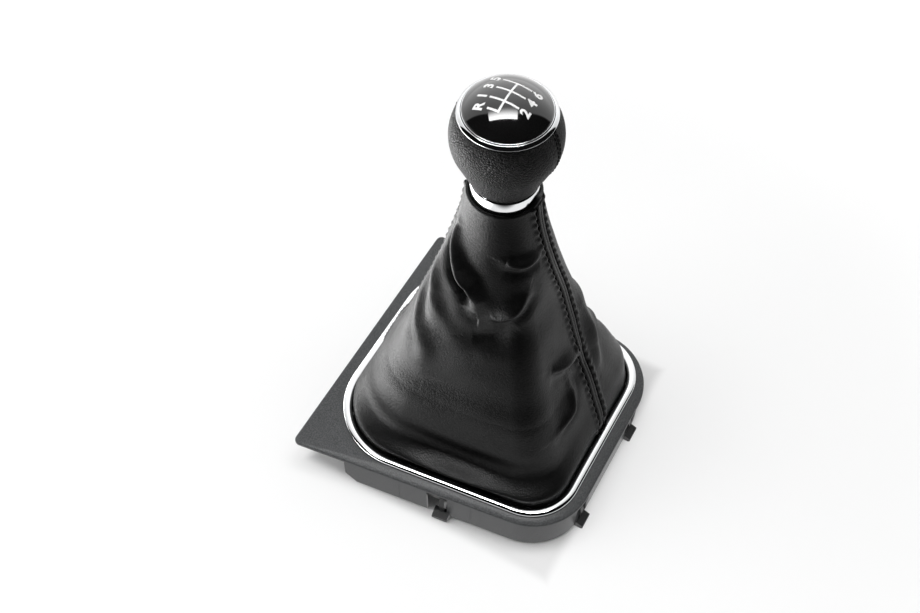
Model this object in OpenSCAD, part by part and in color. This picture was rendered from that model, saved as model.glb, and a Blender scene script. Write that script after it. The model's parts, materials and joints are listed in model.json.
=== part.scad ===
// Gear shift knob with its leather gaiter and trim frame.
// Millimetres. The floor is z = 0, +Y points to the front of the car and +X to its right.

/* [Trim plate] */
// Width of the plate at its straight front edge
plate_front_w = 165; // [150:1:180]
// Width of the plate at its rear edge, before the corners are rounded
plate_rear_w = 125; // [116:1:134]
// Distance from the ring's middle to the plate's front edge
plate_front_y = 80; // [78:0.5:86]
// Distance from the ring's middle to the plate's rear edge
plate_rear_y = 77.8; // [76:0.2:79]
// Radius of the two front corners
plate_front_r = 3.5; // [3.2:0.1:8]
// Radius of the two rear corners
plate_rear_r = 34; // [28:1:36]
// Thickness of the plate at its edge
plate_t = 2; // [1.6:0.1:3]
// How far the plate rises from its edge to the ring
plate_crown = 1.4; // [0.6:0.1:2.4]

/* [Skirt] */
// Height of the plate's edge above the floor
plate_z = 27; // [24:0.5:32]
// Height of the skirt's lower edge above the floor
skirt_z = 1.5; // [1:0.1:3]
// Distance from the plate's edge in to the skirt's outer face
skirt_inset = 1.5; // [1:0.1:2]
// Wall thickness of the skirt
skirt_t = 1.6; // [1.2:0.1:2]
// Where the side skirts end, from the ring's middle to the front
skirt_front_y = 50; // [42:1:56]
// Length and height of the slanted lower corner at the skirt's front end
skirt_slant = 7; // [3:0.5:10]
// Width of the window that each snap foot's leg stands in
window_w = 12; // [10:0.5:14]
// Gap beside the leg, on the narrow side of its window
window_slit = 1.6; // [1:0.1:2.4]

/* [Trim ring] */
// Distance from the plate's front edge to the bright ring
ring_front_gap = 8; // [7:0.5:12]
// Distance from the plate's rear edge to the ring
ring_rear_gap = 5.8; // [5:0.2:8]
// Distance from the plate's side to the ring, at the front
ring_side_front = 7; // [6:0.25:10]
// Distance from the plate's side to the ring, at the rear
ring_side_rear = 2.75; // [2.25:0.25:6]
// Outer radius of the ring's front corners
ring_front_r = 41; // [34:1:46]
// Outer radius of the ring's rear corners
ring_rear_r = 28; // [24:1:32]
// Width of the ring's rounded band
ring_w = 5.2; // [4.4:0.1:5.6]
// Height of the ring's crest above the plate's edge
ring_rise = 4.4; // [3.8:0.1:5]
// Thickness of the lip that goes down into the plate's opening
ring_lip_t = 1.2; // [0.8:0.1:1.6]
// Depth of that lip below the plate's edge
ring_lip_depth = 4; // [3:0.1:5]

/* [Gaiter frame] */
// Height of the gaiter frame's lower edge above the floor
frame_z = 10; // [8:0.5:13]
// Width of a snap foot's toe
foot_w = 9; // [7:0.5:11]
// Width of a snap foot's leg
leg_w = 3; // [2.4:0.1:4]
// How far a snap foot stands out past the skirt
foot_out = 3.7; // [2:0.1:5]
// Height of a foot's toe
toe_h = 3; // [2:0.1:5]
// Distance of the front and rear feet from the middle, on the left
foot_left_x = 35; // [26:1:38]
// Distance of the front and rear feet from the middle, on the right
foot_right_x = 27; // [24:1:38]
// Place of the two side feet, from the ring's middle to the rear
foot_side_y = 7.5; // [0:0.5:20]
// Length of one staple's crown
staple_l = 9; // [6:0.5:11]
// Thickness of the staple wire
staple_t = 0.7; // [0.5:0.1:1]
// Number of staples along each side
staple_n = 3; // [2:1:4]
// Distance from the end of a straight side to its outermost staple
staple_margin = 3; // [2:0.5:6]

/* [Gaiter] */
// Thickness of the leather
leather_t = 1.2; // [1:0.1:1.5]
// Outer radius of the gaiter at its top
gaiter_top_r = 17.5; // [17.2:0.1:20]
// How much the gaiter swells just above the ring
gaiter_swell = 3; // [0:0.5:5]
// How sharply the gaiter narrows towards its top, 1 is a straight cone
gaiter_sweep = 1.3; // [1.1:0.05:1.5]
// Height of the raised, folded edges at the two sewn seams
seam_rise = 0.9; // [0.4:0.1:1.4]
// Depth of the largest folds in the leather
fold_depth = 2.6; // [1:0.1:4]

/* [Knob] */
// Height of the ball's middle above the floor
ball_z = 244; // [236:1:252]
// How far the knob stands behind the ring's middle
knob_back = 3.5; // [0:0.5:8]
// Thickness of the leather on the ball
wrap_t = 1.4; // [1:0.1:1.8]
// Radius of the leather at the knob's neck
neck_r = 15.7; // [15.4:0.1:16.4]
// Distance from the ball's middle down to the leather's lower edge
neck_drop = 27.5; // [26.5:0.5:30]
// Radius of the glossy cap
cap_r = 19.2; // [17:0.1:22]
// How far the leather ball is wider than the cap, on each side
ball_margin = 5.8; // [5:0.1:7]
// Height of the cap's rim above the ball's middle
cap_rim_z = 16.2; // [15.8:0.1:17]
// Height of the cap's dome above its rim
cap_dome_h = 8.7; // [6:0.1:10]
// Width of the bright bezel round the cap
bezel_t = 0.6; // [0.4:0.1:0.8]
// Width of the bright ring between cap and leather
band_w = 1.7; // [1.4:0.1:2]
// Height of that ring
band_h = 2.6; // [2.2:0.1:3]

/* [Neck and sleeve] */
// Radius of the bright neck collar
collar_r = 15.9; // [15.5:0.1:16.1]
// Height of the neck collar
collar_h = 7.6; // [6:0.1:9]
// Radius of the sleeve's bore for the gear lever
bore_r = 6; // [5:0.1:7]
// Wall thickness of the sleeve
sleeve_t = 3; // [2.4:0.1:3.2]
// How far the sleeve reaches down below the neck collar
sleeve_below = 28; // [24:1:36]
// How far the sleeve reaches up into the knob, above the ball's middle
sleeve_above = 6; // [2:0.5:8]
// Width of the clamp on the sleeve
clamp_w = 7; // [5:0.5:9]
// Thickness of the clamp's band
clamp_t = 0.8; // [0.6:0.1:1]
// Length of the slit in the sleeve's lower end
slit_l = 14; // [10:1:18]
// Height of the gaiter's clip ring
clip_ring_h = 12; // [9:0.5:16]
// Wall thickness of the clip ring
clip_ring_t = 2.4; // [2:0.1:2.8]
// Width of the tie round the leather's top
tie_w = 4; // [3:0.5:5]

/* [Hidden] */
$fn = 96;

eps = 0.01;
past = 1; // how far a cutting shape reaches past the face that it cuts
overlap = 0.2; // how deep joined shapes of one piece reach into each other
fit_gap = 0.3; // running gap between pieces that only lie near each other
slip_gap = 0.1; // gap between pieces that are pushed together
top_gap = 0.8; // gap between the gaiter's top and the neck collar
hem_up = 2; // height of the leather's hem above the gaiter frame's lower edge
mouth_drop = 2.4; // how far below the ring's crest the leather leaves the ring
staple_up = 2; // height of the staples above the leather's hem
edge_t = 0.6; // thickness of the plate's rim, and width of its bevel
plastic_black = [0.06, 0.06, 0.065];
plate_grey = [0.29, 0.29, 0.31];
chrome = [0.85, 0.86, 0.88];
leather_black = [0.07, 0.07, 0.075];

// Heights
plate_under = plate_z - plate_t;
plate_top = plate_z + plate_crown;
ring_top = plate_z + ring_rise;
ring_spring = ring_top - ring_w / 2;
lip_z = plate_z - ring_lip_depth;
ledge_z = lip_z - fit_gap;
neck_z = ball_z - neck_drop;
collar_z = neck_z - collar_h;
gaiter_top_z = collar_z - top_gap;
gaiter_hem_z = frame_z + hem_up;
mouth_z = ring_top - mouth_drop;
instep_z = toe_h + 1.6; // where a foot's toe meets its leg

// Insets from the ring's outline, from outside to inside
seat_inset = 0.8;
opening_inset = ring_w - ring_lip_t - 2 * slip_gap;
ledge_inset = opening_inset - fit_gap - slip_gap;
leather_inset = ring_w + fit_gap;
lip_seat_inset = -edge_t;

// A rounded trapezoid, symmetric about x = 0, is [front y, rear y, slant of its sides,
// distance of the side lines from the middle, front radius, rear radius]
function trapezoid(front_y, rear_y, front_w, rear_w, front_r, rear_r) =
    let (slant = atan((front_w - rear_w) / 2 / (front_y + rear_y)))
    [front_y, rear_y, slant,
     front_w / 2 * cos(slant) - front_y * sin(slant), front_r, rear_r];
plate_shape = trapezoid(plate_front_y, plate_rear_y, plate_front_w, plate_rear_w,
    plate_front_r, plate_rear_r);
ring_shape = trapezoid(plate_front_y - ring_front_gap, plate_rear_y - ring_rear_gap,
    plate_front_w - 2 * ring_side_front, plate_rear_w - 2 * ring_side_rear,
    ring_front_r, ring_rear_r);

// Centre of the right front corner's arc, or of the right rear one
function corner(s, front) = let (
    y = front ? s[0] - s[4] : s[5] - s[1],
    r = front ? s[4] : s[5])
    [(s[3] - r + sin(s[2]) * y) / cos(s[2]), y];
// Outward normal of the right side line
function side_normal(s) = [cos(s[2]), -sin(s[2])];
// Half width of the shape at a place along the car, inset by a distance
function half_w(s, y, inset = 0) = (s[3] - inset + sin(s[2]) * y) / cos(s[2]);

// Distance from the point [0, y0] to the inset outline, in the direction of angle a
function reach(s, inset, a, y0) = let (
    u = [abs(cos(a)), sin(a)],
    n = side_normal(s),
    rf = s[4] - inset, rr = s[5] - inset,
    cf = corner(s, true) - [0, y0], cr = corner(s, false) - [0, y0],
    front_a = atan2(cf[1] + rf, cf[0]), side_a = atan2(cf[1] + rf * n[1], cf[0] + rf * n[0]),
    side_b = atan2(cr[1] + rr * n[1], cr[0] + rr * n[0]), rear_a = atan2(cr[1] - rr, cr[0]),
    t = atan2(u[1], u[0]))
    t >= front_a ? (s[0] - inset - y0) / u[1]
    : t > side_a ? on_arc(u, cf, rf)
    : t >= side_b ? (s[3] - inset - n[1] * y0) / (n * u)
    : t > rear_a ? on_arc(u, cr, rr)
    : (s[1] - inset + y0) / -u[1];
function on_arc(u, c, r) = u * c + sqrt(pow(u * c, 2) - c * c + r * r);

// Stations round the outline, anticlockwise: [point, outward normal]
arc_n = 12;
function stations(s) = let (
    cf = corner(s, true), cr = corner(s, false), d = s[2],
    ends = [[cr, s[5], -90, -d], [cf, s[4], -d, 90],
        [[-cf[0], cf[1]], s[4], 90, 180 + d], [[-cr[0], cr[1]], s[5], 180 + d, 270]])
    [for (e = ends, k = [0:arc_n]) let (a = e[2] + (e[3] - e[2]) * k / arc_n, n = [cos(a), sin(a)])
        [e[0] + e[1] * n, n]];

// The inset outline as a flat shape
module outline(s, inset = 0) {
    polygon([for (st = stations(s)) st[0] - inset * st[1]]);
}

// A wall that follows the outline, between two insets and two heights
module rim(s, outer_inset, inner_inset, z0, z1) {
    translate([0, 0, z0]) linear_extrude(z1 - z0) difference() {
        outline(s, outer_inset);
        outline(s, inner_inset);
    }
}

// Sweeps a closed profile round the outline. The profile's x is the distance out from the
// outline, and its y is the height; its points run anticlockwise.
module sweep_outline(s, profile) {
    path = stations(s);
    m = len(path);
    n = len(profile);
    points = [for (st = path, q = profile)
        [st[0][0] + st[1][0] * q[0], st[0][1] + st[1][1] * q[0], q[1]]];
    function at(k, j) = (k % m) * n + j % n;
    faces = [for (k = [0:m - 1], j = [0:n - 1])
        each [[at(k, j), at(k, j + 1), at(k + 1, j + 1)], [at(k, j), at(k + 1, j + 1), at(k + 1, j)]]];
    polyhedron(points, faces, convexity = 6);
}

// Places a child at each snap foot, with +X pointing outwards from the frame's edge.
// $out is the distance from there to the skirt's outer face.
module at_feet() {
    n = side_normal(ring_shape);
    end_out = ring_rear_gap - skirt_inset + seat_inset;
    side_out = (half_w(plate_shape, -foot_side_y, skirt_inset)
        - half_w(ring_shape, -foot_side_y, seat_inset)) * n[0];
    for (end = [0, 1], side = [-1, 1]) let ($out = end_out)
        translate([side < 0 ? -foot_left_x : foot_right_x,
            (1 - 2 * end) * (ring_shape[end] - seat_inset), 0])
            rotate([0, 0, 90 - 180 * end]) children();
    for (side = [0, 1]) mirror([side, 0, 0]) let ($out = side_out)
        translate([half_w(ring_shape, -foot_side_y, seat_inset), -foot_side_y, 0])
            rotate([0, 0, -ring_shape[2]]) children();
}

// Trim plate: a crowned plate with a straight front edge, an opening for the gaiter and a skirt
module trim_plate() {
    color(plate_grey) difference() {
        union() {
            plate_crown_body();
            rim(plate_shape, skirt_inset, skirt_inset + skirt_t, skirt_z, plate_under + overlap);
            for (side = [-1, 1]) skirt_end(side);
        }
        translate([0, 0, -past]) linear_extrude(plate_top + 2 * past) outline(ring_shape, opening_inset);
        skirt_front_cut();
        at_feet() foot_window();
    }
}
// The top of the plate rises from a thin edge to the ring
module plate_crown_body() {
    hull() {
        translate([0, 0, plate_under]) linear_extrude(plate_t - edge_t / 2) outline(plate_shape);
        translate([0, 0, plate_z - edge_t / 2]) linear_extrude(edge_t / 2)
            outline(plate_shape, edge_t);
        translate([0, 0, plate_top - edge_t]) linear_extrude(edge_t)
            outline(ring_shape, lip_seat_inset);
    }
}
// The skirt stops short of the front, with a slanted lower corner
module skirt_front_cut() {
    far = plate_front_y + past;
    translate([-plate_front_w, 0, 0]) rotate([90, 0, 90]) linear_extrude(2 * plate_front_w)
        polygon([[skirt_front_y - skirt_slant, -past], [skirt_front_y - skirt_slant, skirt_z],
            [skirt_front_y, skirt_z + skirt_slant], [skirt_front_y, plate_under],
            [far, plate_under], [far, -past]]);
}
// A short web turns in from the skirt's front end to the gaiter frame
module skirt_end(side) {
    y = skirt_front_y - skirt_t;
    x0 = half_w(ring_shape, skirt_front_y, seat_inset) + fit_gap;
    x1 = half_w(plate_shape, y, skirt_inset + skirt_t / 2);
    translate([side > 0 ? x0 : -x1, y, skirt_z + skirt_slant])
        cube([x1 - x0, skirt_t, plate_under - skirt_z - skirt_slant + overlap]);
}
// Window in the skirt for a snap foot's leg, with a low notch for its toe
module foot_window() {
    window_top = plate_under - 2;
    depth = plate_rear_y / 2;
    translate([0, -leg_w / 2 - window_slit, -past]) cube([depth, window_w, window_top + past]);
    translate([0, -foot_w / 2 - fit_gap, -past])
        cube([depth, foot_w + 2 * fit_gap, instep_z + fit_gap + past]);
}

// Trim ring: a half-round bright band with a lip down into the opening
module trim_ring() {
    crown = [for (a = [0:15:180])
        [-ring_w / 2 + ring_w / 2 * cos(a), ring_spring + ring_w / 2 * sin(a)]];
    lip = [[-ring_w, lip_z], [ring_lip_t - ring_w, lip_z], [ring_lip_t - ring_w, plate_top],
        [0, plate_top]];
    color(chrome) sweep_outline(ring_shape, concat(crown, lip));
}

// Gaiter frame: the inner ring that carries the leather, with six snap feet
module gaiter_frame() {
    color(plastic_black) difference() {
        union() {
            difference() {
                rim(ring_shape, seat_inset, ring_w, frame_z, plate_under);
                translate([0, 0, ledge_z]) linear_extrude(plate_under)
                    outline(ring_shape, ledge_inset);
            }
            at_feet() snap_foot();
        }
        at_staples() translate([-past, -staple_l / 2 - fit_gap, -staple_t])
            cube([past + staple_t, staple_l + 2 * fit_gap, 2 * staple_t]);
    }
}
// One snap foot: a narrow leg down from the frame, with a barb, and a wide toe on the floor
module snap_foot() {
    leg_t = 2.2;
    root = -1.5; // the leg starts inside the frame's wall
    knee_z = instep_z + leg_t;
    bevel = 1;
    barb = 0.8;
    barb_l = 8;
    barb_drop = 6; // how far the barb's top lies below the plate
    barb_z = plate_under - barb_drop;
    upright(leg_w) polygon([[root, barb_z], [root, frame_z + bevel], [$out - leg_t, knee_z],
        [$out - leg_t, 0], [$out, 0], [$out, barb_z - barb_l],
        [$out + barb, barb_z - barb_l + barb], [$out - barb, barb_z]]);
    upright(foot_w) polygon([[$out - leg_t, instep_z], [$out - leg_t, 0],
        [$out + foot_out - bevel, 0], [$out + foot_out, bevel], [$out + foot_out, toe_h],
        [$out, instep_z]]);
}
// Stands a flat shape upright along +X, centred, with a width
module upright(width) {
    translate([0, width / 2, 0]) rotate([90, 0, 0]) linear_extrude(width) children();
}
// Places a child at each staple, with +X pointing out of the inner wall. The staples are spread
// over the straight part of each side.
module at_staples() {
    z = gaiter_hem_z + staple_up;
    cf = corner(ring_shape, true);
    cr = corner(ring_shape, false);
    margin = staple_margin + staple_l / 2;
    for (side = [0, 1], k = [0:staple_n - 1]) mirror([side, 0, 0]) {
        y = cr[1] + margin + (cf[1] - cr[1] - 2 * margin) * k / (staple_n - 1);
        translate([half_w(ring_shape, y, ring_w), y, z]) rotate([0, 0, -ring_shape[2]]) children();
    }
    for (end = [0, 1], k = [0:staple_n - 1]) {
        x = (min(cf[0], cr[0]) - margin) * (2 * k / (staple_n - 1) - 1);
        translate([x, (1 - 2 * end) * (ring_shape[end] - ring_w), z])
            rotate([0, 0, 90 - 180 * end]) children();
    }
}

// Staples: they hold the leather's hem to the inside of the gaiter frame
module frame_staples() {
    color("silver") at_staples() staple();
}
module staple() {
    back = leather_t + fit_gap + slip_gap;
    translate([-back - staple_t, -staple_l / 2, -staple_t / 2])
        cube([staple_t, staple_l, staple_t]);
    for (end = [-1, 1])
        translate([-back - staple_t, end * (staple_l - staple_t) / 2 - staple_t / 2, -staple_t / 2])
            cube([back + staple_t, staple_t, staple_t]);
}

// Folds of the leather: [angle, height share, depth share, width in degrees, height spread,
// degrees that the fold turns over the whole height]
folds = [
    [182, 0.075, 1.0, 60, 0.035, 0], [184, 0.165, -0.8, 52, 0.04, 0],
    [150, 0.27, 0.5, 26, 0.05, 60], [212, 0.30, 0.6, 40, 0.05, 0],
    [170, 0.36, -0.4, 34, 0.04, 90], [205, 0.58, -0.9, 34, 0.06, 200],
    [162, 0.78, 1.0, 12, 0.07, -326], [150, 0.80, -0.7, 9, 0.06, -300],
    [141, 0.64, 0.7, 9, 0.08, -220], [136, 0.52, 0.6, 9, 0.08, -190],
    [265, 0.386, 0.6, 13, 0.03, -60], [256, 0.255, 0.7, 13, 0.035, 60],
    [236, 0.84, 0.5, 17, 0.02, 0], [218, 0.69, 0.6, 12, 0.03, 120],
    [296, 0.33, 0.7, 7, 0.08, 90], [316, 0.20, 0.5, 9, 0.10, 60],
    [-20, 0.10, 0.8, 44, 0.04, 40], [4, 0.20, -0.7, 38, 0.05, -50],
    [-30, 0.46, 0.8, 26, 0.04, -70], [18, 0.52, -0.7, 24, 0.05, 40],
    [24, 0.64, 0.8, 22, 0.05, -60], [0, 0.78, 0.6, 30, 0.04, 40],
    [40, 0.30, -0.6, 18, 0.06, 60], [66, 0.36, 0.6, 14, 0.07, 50]];
function turn(a, b) = let (d = (a - b) % 360) d > 180 ? d - 360 : d < -180 ? d + 360 : d;
function fold_at(a, u) = fold_depth * sum([for (f = folds)
    f[2] * exp(-pow((turn(a, f[0]) - f[5] * (u - f[1])) / f[3], 2) - pow((u - f[1]) / f[4], 2))]);
function sum(v, k = 0) = k < len(v) ? v[k] + sum(v, k + 1) : 0;

// The gaiter's surface: share u of its height, from the ring to the top, at angle a
function spread(u) = pow(1 - u, gaiter_sweep);
function gaiter_y(u) = -knob_back * (1 - spread(u));
function swell(u) = gaiter_swell * sin(180 * min(1, u / 0.3));
function gaiter_r(a, u) = spread(u) * (reach(ring_shape, leather_inset, a, gaiter_y(u)))
    + (1 - spread(u)) * gaiter_top_r + (u > 0 ? swell(u) + min(1, (1 - u) * 8) * fold_at(a, u) : 0);

// Levels of a panel as [height, share of height]
level_n = 18;
levels = concat([[gaiter_hem_z, 0]],
    [for (k = [0:level_n]) let (u = pow(k / level_n, 0.92))
        [mouth_z + (gaiter_top_z - mouth_z) * u, u]]);
// The rear seam's lean in degrees, at shares of the height
seam_lean = [[0, 10], [0.2, 10.5], [0.4, 15.5], [0.62, 19], [0.8, 10], [0.92, 2], [1, 0]];
// Columns of a panel: a few at measured distances from each seam, the rest spread evenly
seam_d = [slip_gap, 2.2, 4.2, 5.4];
seam_up = [0.8, 1, 0.9, 0];
column_n = 22;
seam_n = len(seam_d);
function seam_a(a, u, d) = asin(d / gaiter_r(a, u));
// Angle of the seam that lies near angle a. The rear one leans to the right on its way down.
function seam_at(a, u) = sin(a) > 0 ? a : a + lookup(u, seam_lean);
function column_a(a0, u, j) = let (last = seam_n - 1, s0 = seam_at(a0, u), s1 = seam_at(a0 + 180, u),
    from = s0 + seam_a(s0, u, seam_d[last]), to = s1 - seam_a(s1, u, seam_d[last]))
    j < seam_n ? s0 + seam_a(s0, u, seam_d[j])
    : j >= seam_n + column_n ? s1 - seam_a(s1, u, seam_d[2 * seam_n + column_n - 1 - j])
    : from + (to - from) * (j - last) / (column_n + 1);
function column_up(j) = seam_rise * (j < seam_n ? seam_up[j]
    : j >= seam_n + column_n ? seam_up[2 * seam_n + column_n - 1 - j] : 0);

// Half of the gaiter, from the seam at angle a0 round to the seam opposite
module gaiter_panel(a0) {
    n = 2 * seam_n + column_n;
    m = len(levels);
    function skin(k, j, t) = let (u = levels[k][1], a = column_a(a0, u, j),
        up = k > 1 ? column_up(j) : 0, r = gaiter_r(a, u) + up - t)
        [r * cos(a), r * sin(a) + gaiter_y(u), levels[k][0]];
    points = [for (t = [0, leather_t], k = [0:m - 1], j = [0:n - 1]) skin(k, j, t)];
    function o(k, j) = k * n + j;
    function i(k, j) = m * n + k * n + j;
    function quad(p, q, r, s) = [[p, q, r], [p, r, s]];
    faces = concat(
        [for (k = [0:m - 2], j = [0:n - 2])
            each quad(o(k, j), o(k + 1, j), o(k + 1, j + 1), o(k, j + 1))],
        [for (k = [0:m - 2], j = [0:n - 2])
            each quad(i(k, j), i(k, j + 1), i(k + 1, j + 1), i(k + 1, j))],
        [for (j = [0:n - 2]) each quad(o(0, j), o(0, j + 1), i(0, j + 1), i(0, j))],
        [for (j = [0:n - 2])
            each quad(o(m - 1, j + 1), o(m - 1, j), i(m - 1, j), i(m - 1, j + 1))],
        [for (k = [0:m - 2]) each quad(o(k + 1, 0), o(k, 0), i(k, 0), i(k + 1, 0))],
        [for (k = [0:m - 2])
            each quad(o(k, n - 1), o(k + 1, n - 1), i(k + 1, n - 1), i(k, n - 1))]);
    polyhedron(points, faces, convexity = 6);
}
module gaiter_left() {
    color(leather_black) difference() {
        gaiter_panel(90);
        at_staples() staple_hole();
    }
}
module gaiter_right() {
    color(leather_black) difference() {
        gaiter_panel(-90);
        at_staples() staple_hole();
    }
}
// Holes that the staple's legs make in the leather
module staple_hole() {
    for (end = [-1, 1])
        translate([-leather_t - 2 * past, end * (staple_l - staple_t) / 2 - staple_t / 2 - slip_gap,
            -staple_t / 2 - slip_gap])
            cube([leather_t + 4 * past, staple_t + 2 * slip_gap, staple_t + 2 * slip_gap]);
}

// Everything in the knob stands on one upright axis behind the ring's middle
module on_lever() {
    translate([0, -knob_back, 0]) children();
}
// A turned tube between two radii
module tube(r_in, r_out, z0, z1) {
    translate([0, 0, z0]) difference() {
        cylinder(r = r_out, h = z1 - z0);
        translate([0, 0, -past]) cylinder(r = r_in, h = z1 - z0 + 2 * past);
    }
}

sleeve_r = bore_r + sleeve_t;
tie_t = 0.9; // thickness of the tie round the clip ring
clip_ring_r = gaiter_top_r - leather_t - tie_t - 2 * slip_gap;
tie_drop = 9; // how far the tie's lower edge lies below the collar
tie_z = collar_z - tie_drop;
clamp_up = 4; // how far the clamp sits above the sleeve's lower end
clamp_z = collar_z - sleeve_below + clamp_up;

// Clip ring: the leather's top is tied round it, and it clips to the neck collar
module gaiter_clip_ring() {
    bead_out = 0.5;
    bead_h = 1.5;
    ring_z = collar_z - clip_ring_h;
    color(plastic_black) on_lever() union() {
        tube(clip_ring_r - clip_ring_t, clip_ring_r, ring_z, collar_z);
        tube(clip_ring_r - clip_ring_t, clip_ring_r + bead_out, ring_z, ring_z + bead_h);
    }
}
// Tie: a flat band between the clip ring and the leather
module gaiter_tie() {
    color("dimgray") on_lever()
        tube(clip_ring_r + slip_gap, clip_ring_r + slip_gap + tie_t, tie_z, tie_z + tie_w);
}

// Neck collar: a bright turned collar with rounded edges
module neck_collar() {
    edge = 0.8;
    pocket_w = 2.4; // the collar is hollow below, to keep its wall even
    pocket_roof = 3;
    color(chrome) on_lever() rotate_extrude() difference() {
        union() {
            translate([sleeve_r + slip_gap, collar_z])
                square([collar_r - edge - sleeve_r - slip_gap, collar_h]);
            translate([collar_r - 2 * edge, collar_z + edge]) square([2 * edge, collar_h - 2 * edge]);
            for (z = [collar_z + edge, collar_z + collar_h - edge])
                translate([collar_r - edge, z]) circle(r = edge);
        }
        translate([sleeve_r - past, collar_z - past])
            square([pocket_w + past, collar_h - pocket_roof + past]);
    }
}

// Lever sleeve: a metal tube with a bore for the lever and a slit lower end
module lever_sleeve() {
    slit = 1.6;
    color("silver") on_lever() difference() {
        tube(bore_r, sleeve_r, collar_z - sleeve_below, ball_z + sleeve_above);
        translate([-slit / 2, -sleeve_r - past, collar_z - sleeve_below - past])
            cube([slit, 2 * (sleeve_r + past), slit_l + past]);
    }
}
// Clamp: a band with one pinched ear that closes the sleeve on the lever
module sleeve_clamp() {
    ear_w = 5;
    ear_h = 3;
    color("silver") on_lever() translate([0, 0, clamp_z]) difference() {
        union() {
            cylinder(r = sleeve_r + slip_gap + clamp_t, h = clamp_w);
            translate([-ear_w / 2, sleeve_r, 0]) cube([ear_w, ear_h + clamp_t, clamp_w]);
        }
        translate([0, 0, -past]) cylinder(r = sleeve_r + slip_gap, h = clamp_w + 2 * past);
        translate([-ear_w / 2 + clamp_t, sleeve_r, -past])
            cube([ear_w - 2 * clamp_t, ear_h, clamp_w + 2 * past]);
    }
}

// Radii round the cap, from inside to outside
groove_r = cap_r + bezel_t + slip_gap;
band_r = groove_r + slip_gap + band_w;
ball_r = cap_r + ball_margin;

// The ball is a sphere with a straight taper that leaves it almost as a tangent to the neck
taper_d = norm([neck_r, neck_drop]);
taper_a = acos(ball_r / taper_d) - atan2(neck_drop, neck_r);
taper_n = [cos(taper_a), sin(taper_a)];
module ball_body(skin) {
    sink = 0.1;
    top = (ball_r - sink - skin) * taper_n;
    bottom_r = neck_r - skin / taper_n[0];
    intersection() {
        union() {
            translate([0, 0, ball_z]) sphere(r = ball_r - skin);
            translate([0, 0, neck_z]) cylinder(r1 = bottom_r, r2 = top[0], h = neck_drop + top[1]);
        }
        translate([0, 0, neck_z]) cylinder(r = 2 * ball_r, h = band_z - neck_z);
    }
}
band_drop = 0.5; // how far the bright ring's inner edge lies below the cap's rim
band_z = ball_z + cap_rim_z - band_drop - band_h;
cup_depth = 3; // how far the seat's cup reaches below the bright ring
core_cup_z = band_z - cup_depth;
cup_step = 1.8; // how much narrower the core's cup is than the seat's rim
core_cup_r = groove_r - cup_step;
cap_sink = 1.8; // how deep the cap and its bezel sit in their seat

// Knob core: the moulded body under the leather, with a cup for the cap's seat
module knob_core() {
    color(plastic_black) on_lever() difference() {
        ball_body(wrap_t);
        translate([0, 0, neck_z - past])
            cylinder(r = sleeve_r + slip_gap, h = ball_z + sleeve_above + slip_gap - neck_z + past);
        translate([0, 0, core_cup_z]) cylinder(r = core_cup_r, h = ball_r);
    }
}
// Leather wrap on the ball, down to the neck
module knob_leather() {
    color(leather_black) on_lever() difference() {
        ball_body(0);
        ball_body(wrap_t);
    }
}
// Bright ring on top of the leather: a wide slope from the cap's bezel down to its edge
module knob_band() {
    edge = band_h / 4;
    inner_r = groove_r + slip_gap;
    color(chrome) on_lever() rotate_extrude() polygon([
        [inner_r, band_z], [band_r - edge / 2, band_z], [band_r, band_z + edge / 2],
        [band_r, band_z + edge], [inner_r + edge, band_z + band_h], [inner_r, band_z + band_h]]);
}
// Seat of the cap: a black disc in the core's cup, wider under the cap's rim
module cap_seat() {
    seat_r = core_cup_r - slip_gap;
    seat_top = ball_z + cap_rim_z - cap_sink;
    pocket_r = sleeve_r - sleeve_t;
    color(plastic_black) on_lever() rotate_extrude() difference() {
        union() {
            translate([0, core_cup_z]) square([seat_r, seat_top - core_cup_z]);
            translate([0, band_z]) square([groove_r, seat_top - band_z]);
        }
        translate([0, core_cup_z - past]) square([pocket_r, past + cup_depth / 2]);
    }
}
// Thin bright bezel round the cap
module cap_bezel() {
    rim_z = ball_z + cap_rim_z;
    stand = 0.3; // how far the bezel stands above the cap's rim
    color(chrome) on_lever()
        tube(cap_r + slip_gap / 2, cap_r + bezel_t, rim_z - cap_sink, rim_z + stand);
}
// Shift cap: the glossy dome that carries the shift pattern
module shift_cap() {
    rim_z = ball_z + cap_rim_z;
    dome_r = (cap_r * cap_r + cap_dome_h * cap_dome_h) / (2 * cap_dome_h);
    color("black") on_lever() rotate_extrude() {
        translate([0, rim_z - cap_sink]) square([cap_r, cap_sink]);
        intersection() {
            translate([0, rim_z + cap_dome_h - dome_r]) circle(r = dome_r);
            translate([0, rim_z - eps]) square([cap_r, cap_dome_h + past]);
        }
    }
}

trim_plate();
trim_ring();
gaiter_frame();
frame_staples();
gaiter_left();
gaiter_right();
gaiter_clip_ring();
gaiter_tie();
neck_collar();
lever_sleeve();
sleeve_clamp();
knob_core();
knob_leather();
knob_band();
cap_seat();
cap_bezel();
shift_cap();
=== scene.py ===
"""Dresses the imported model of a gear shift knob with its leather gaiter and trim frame."""

import json
import logging
import math
from dataclasses import dataclass
from enum import Enum
from functools import cache

import bmesh
import bpy
import numpy as np
from mathutils import Matrix, Vector

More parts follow.
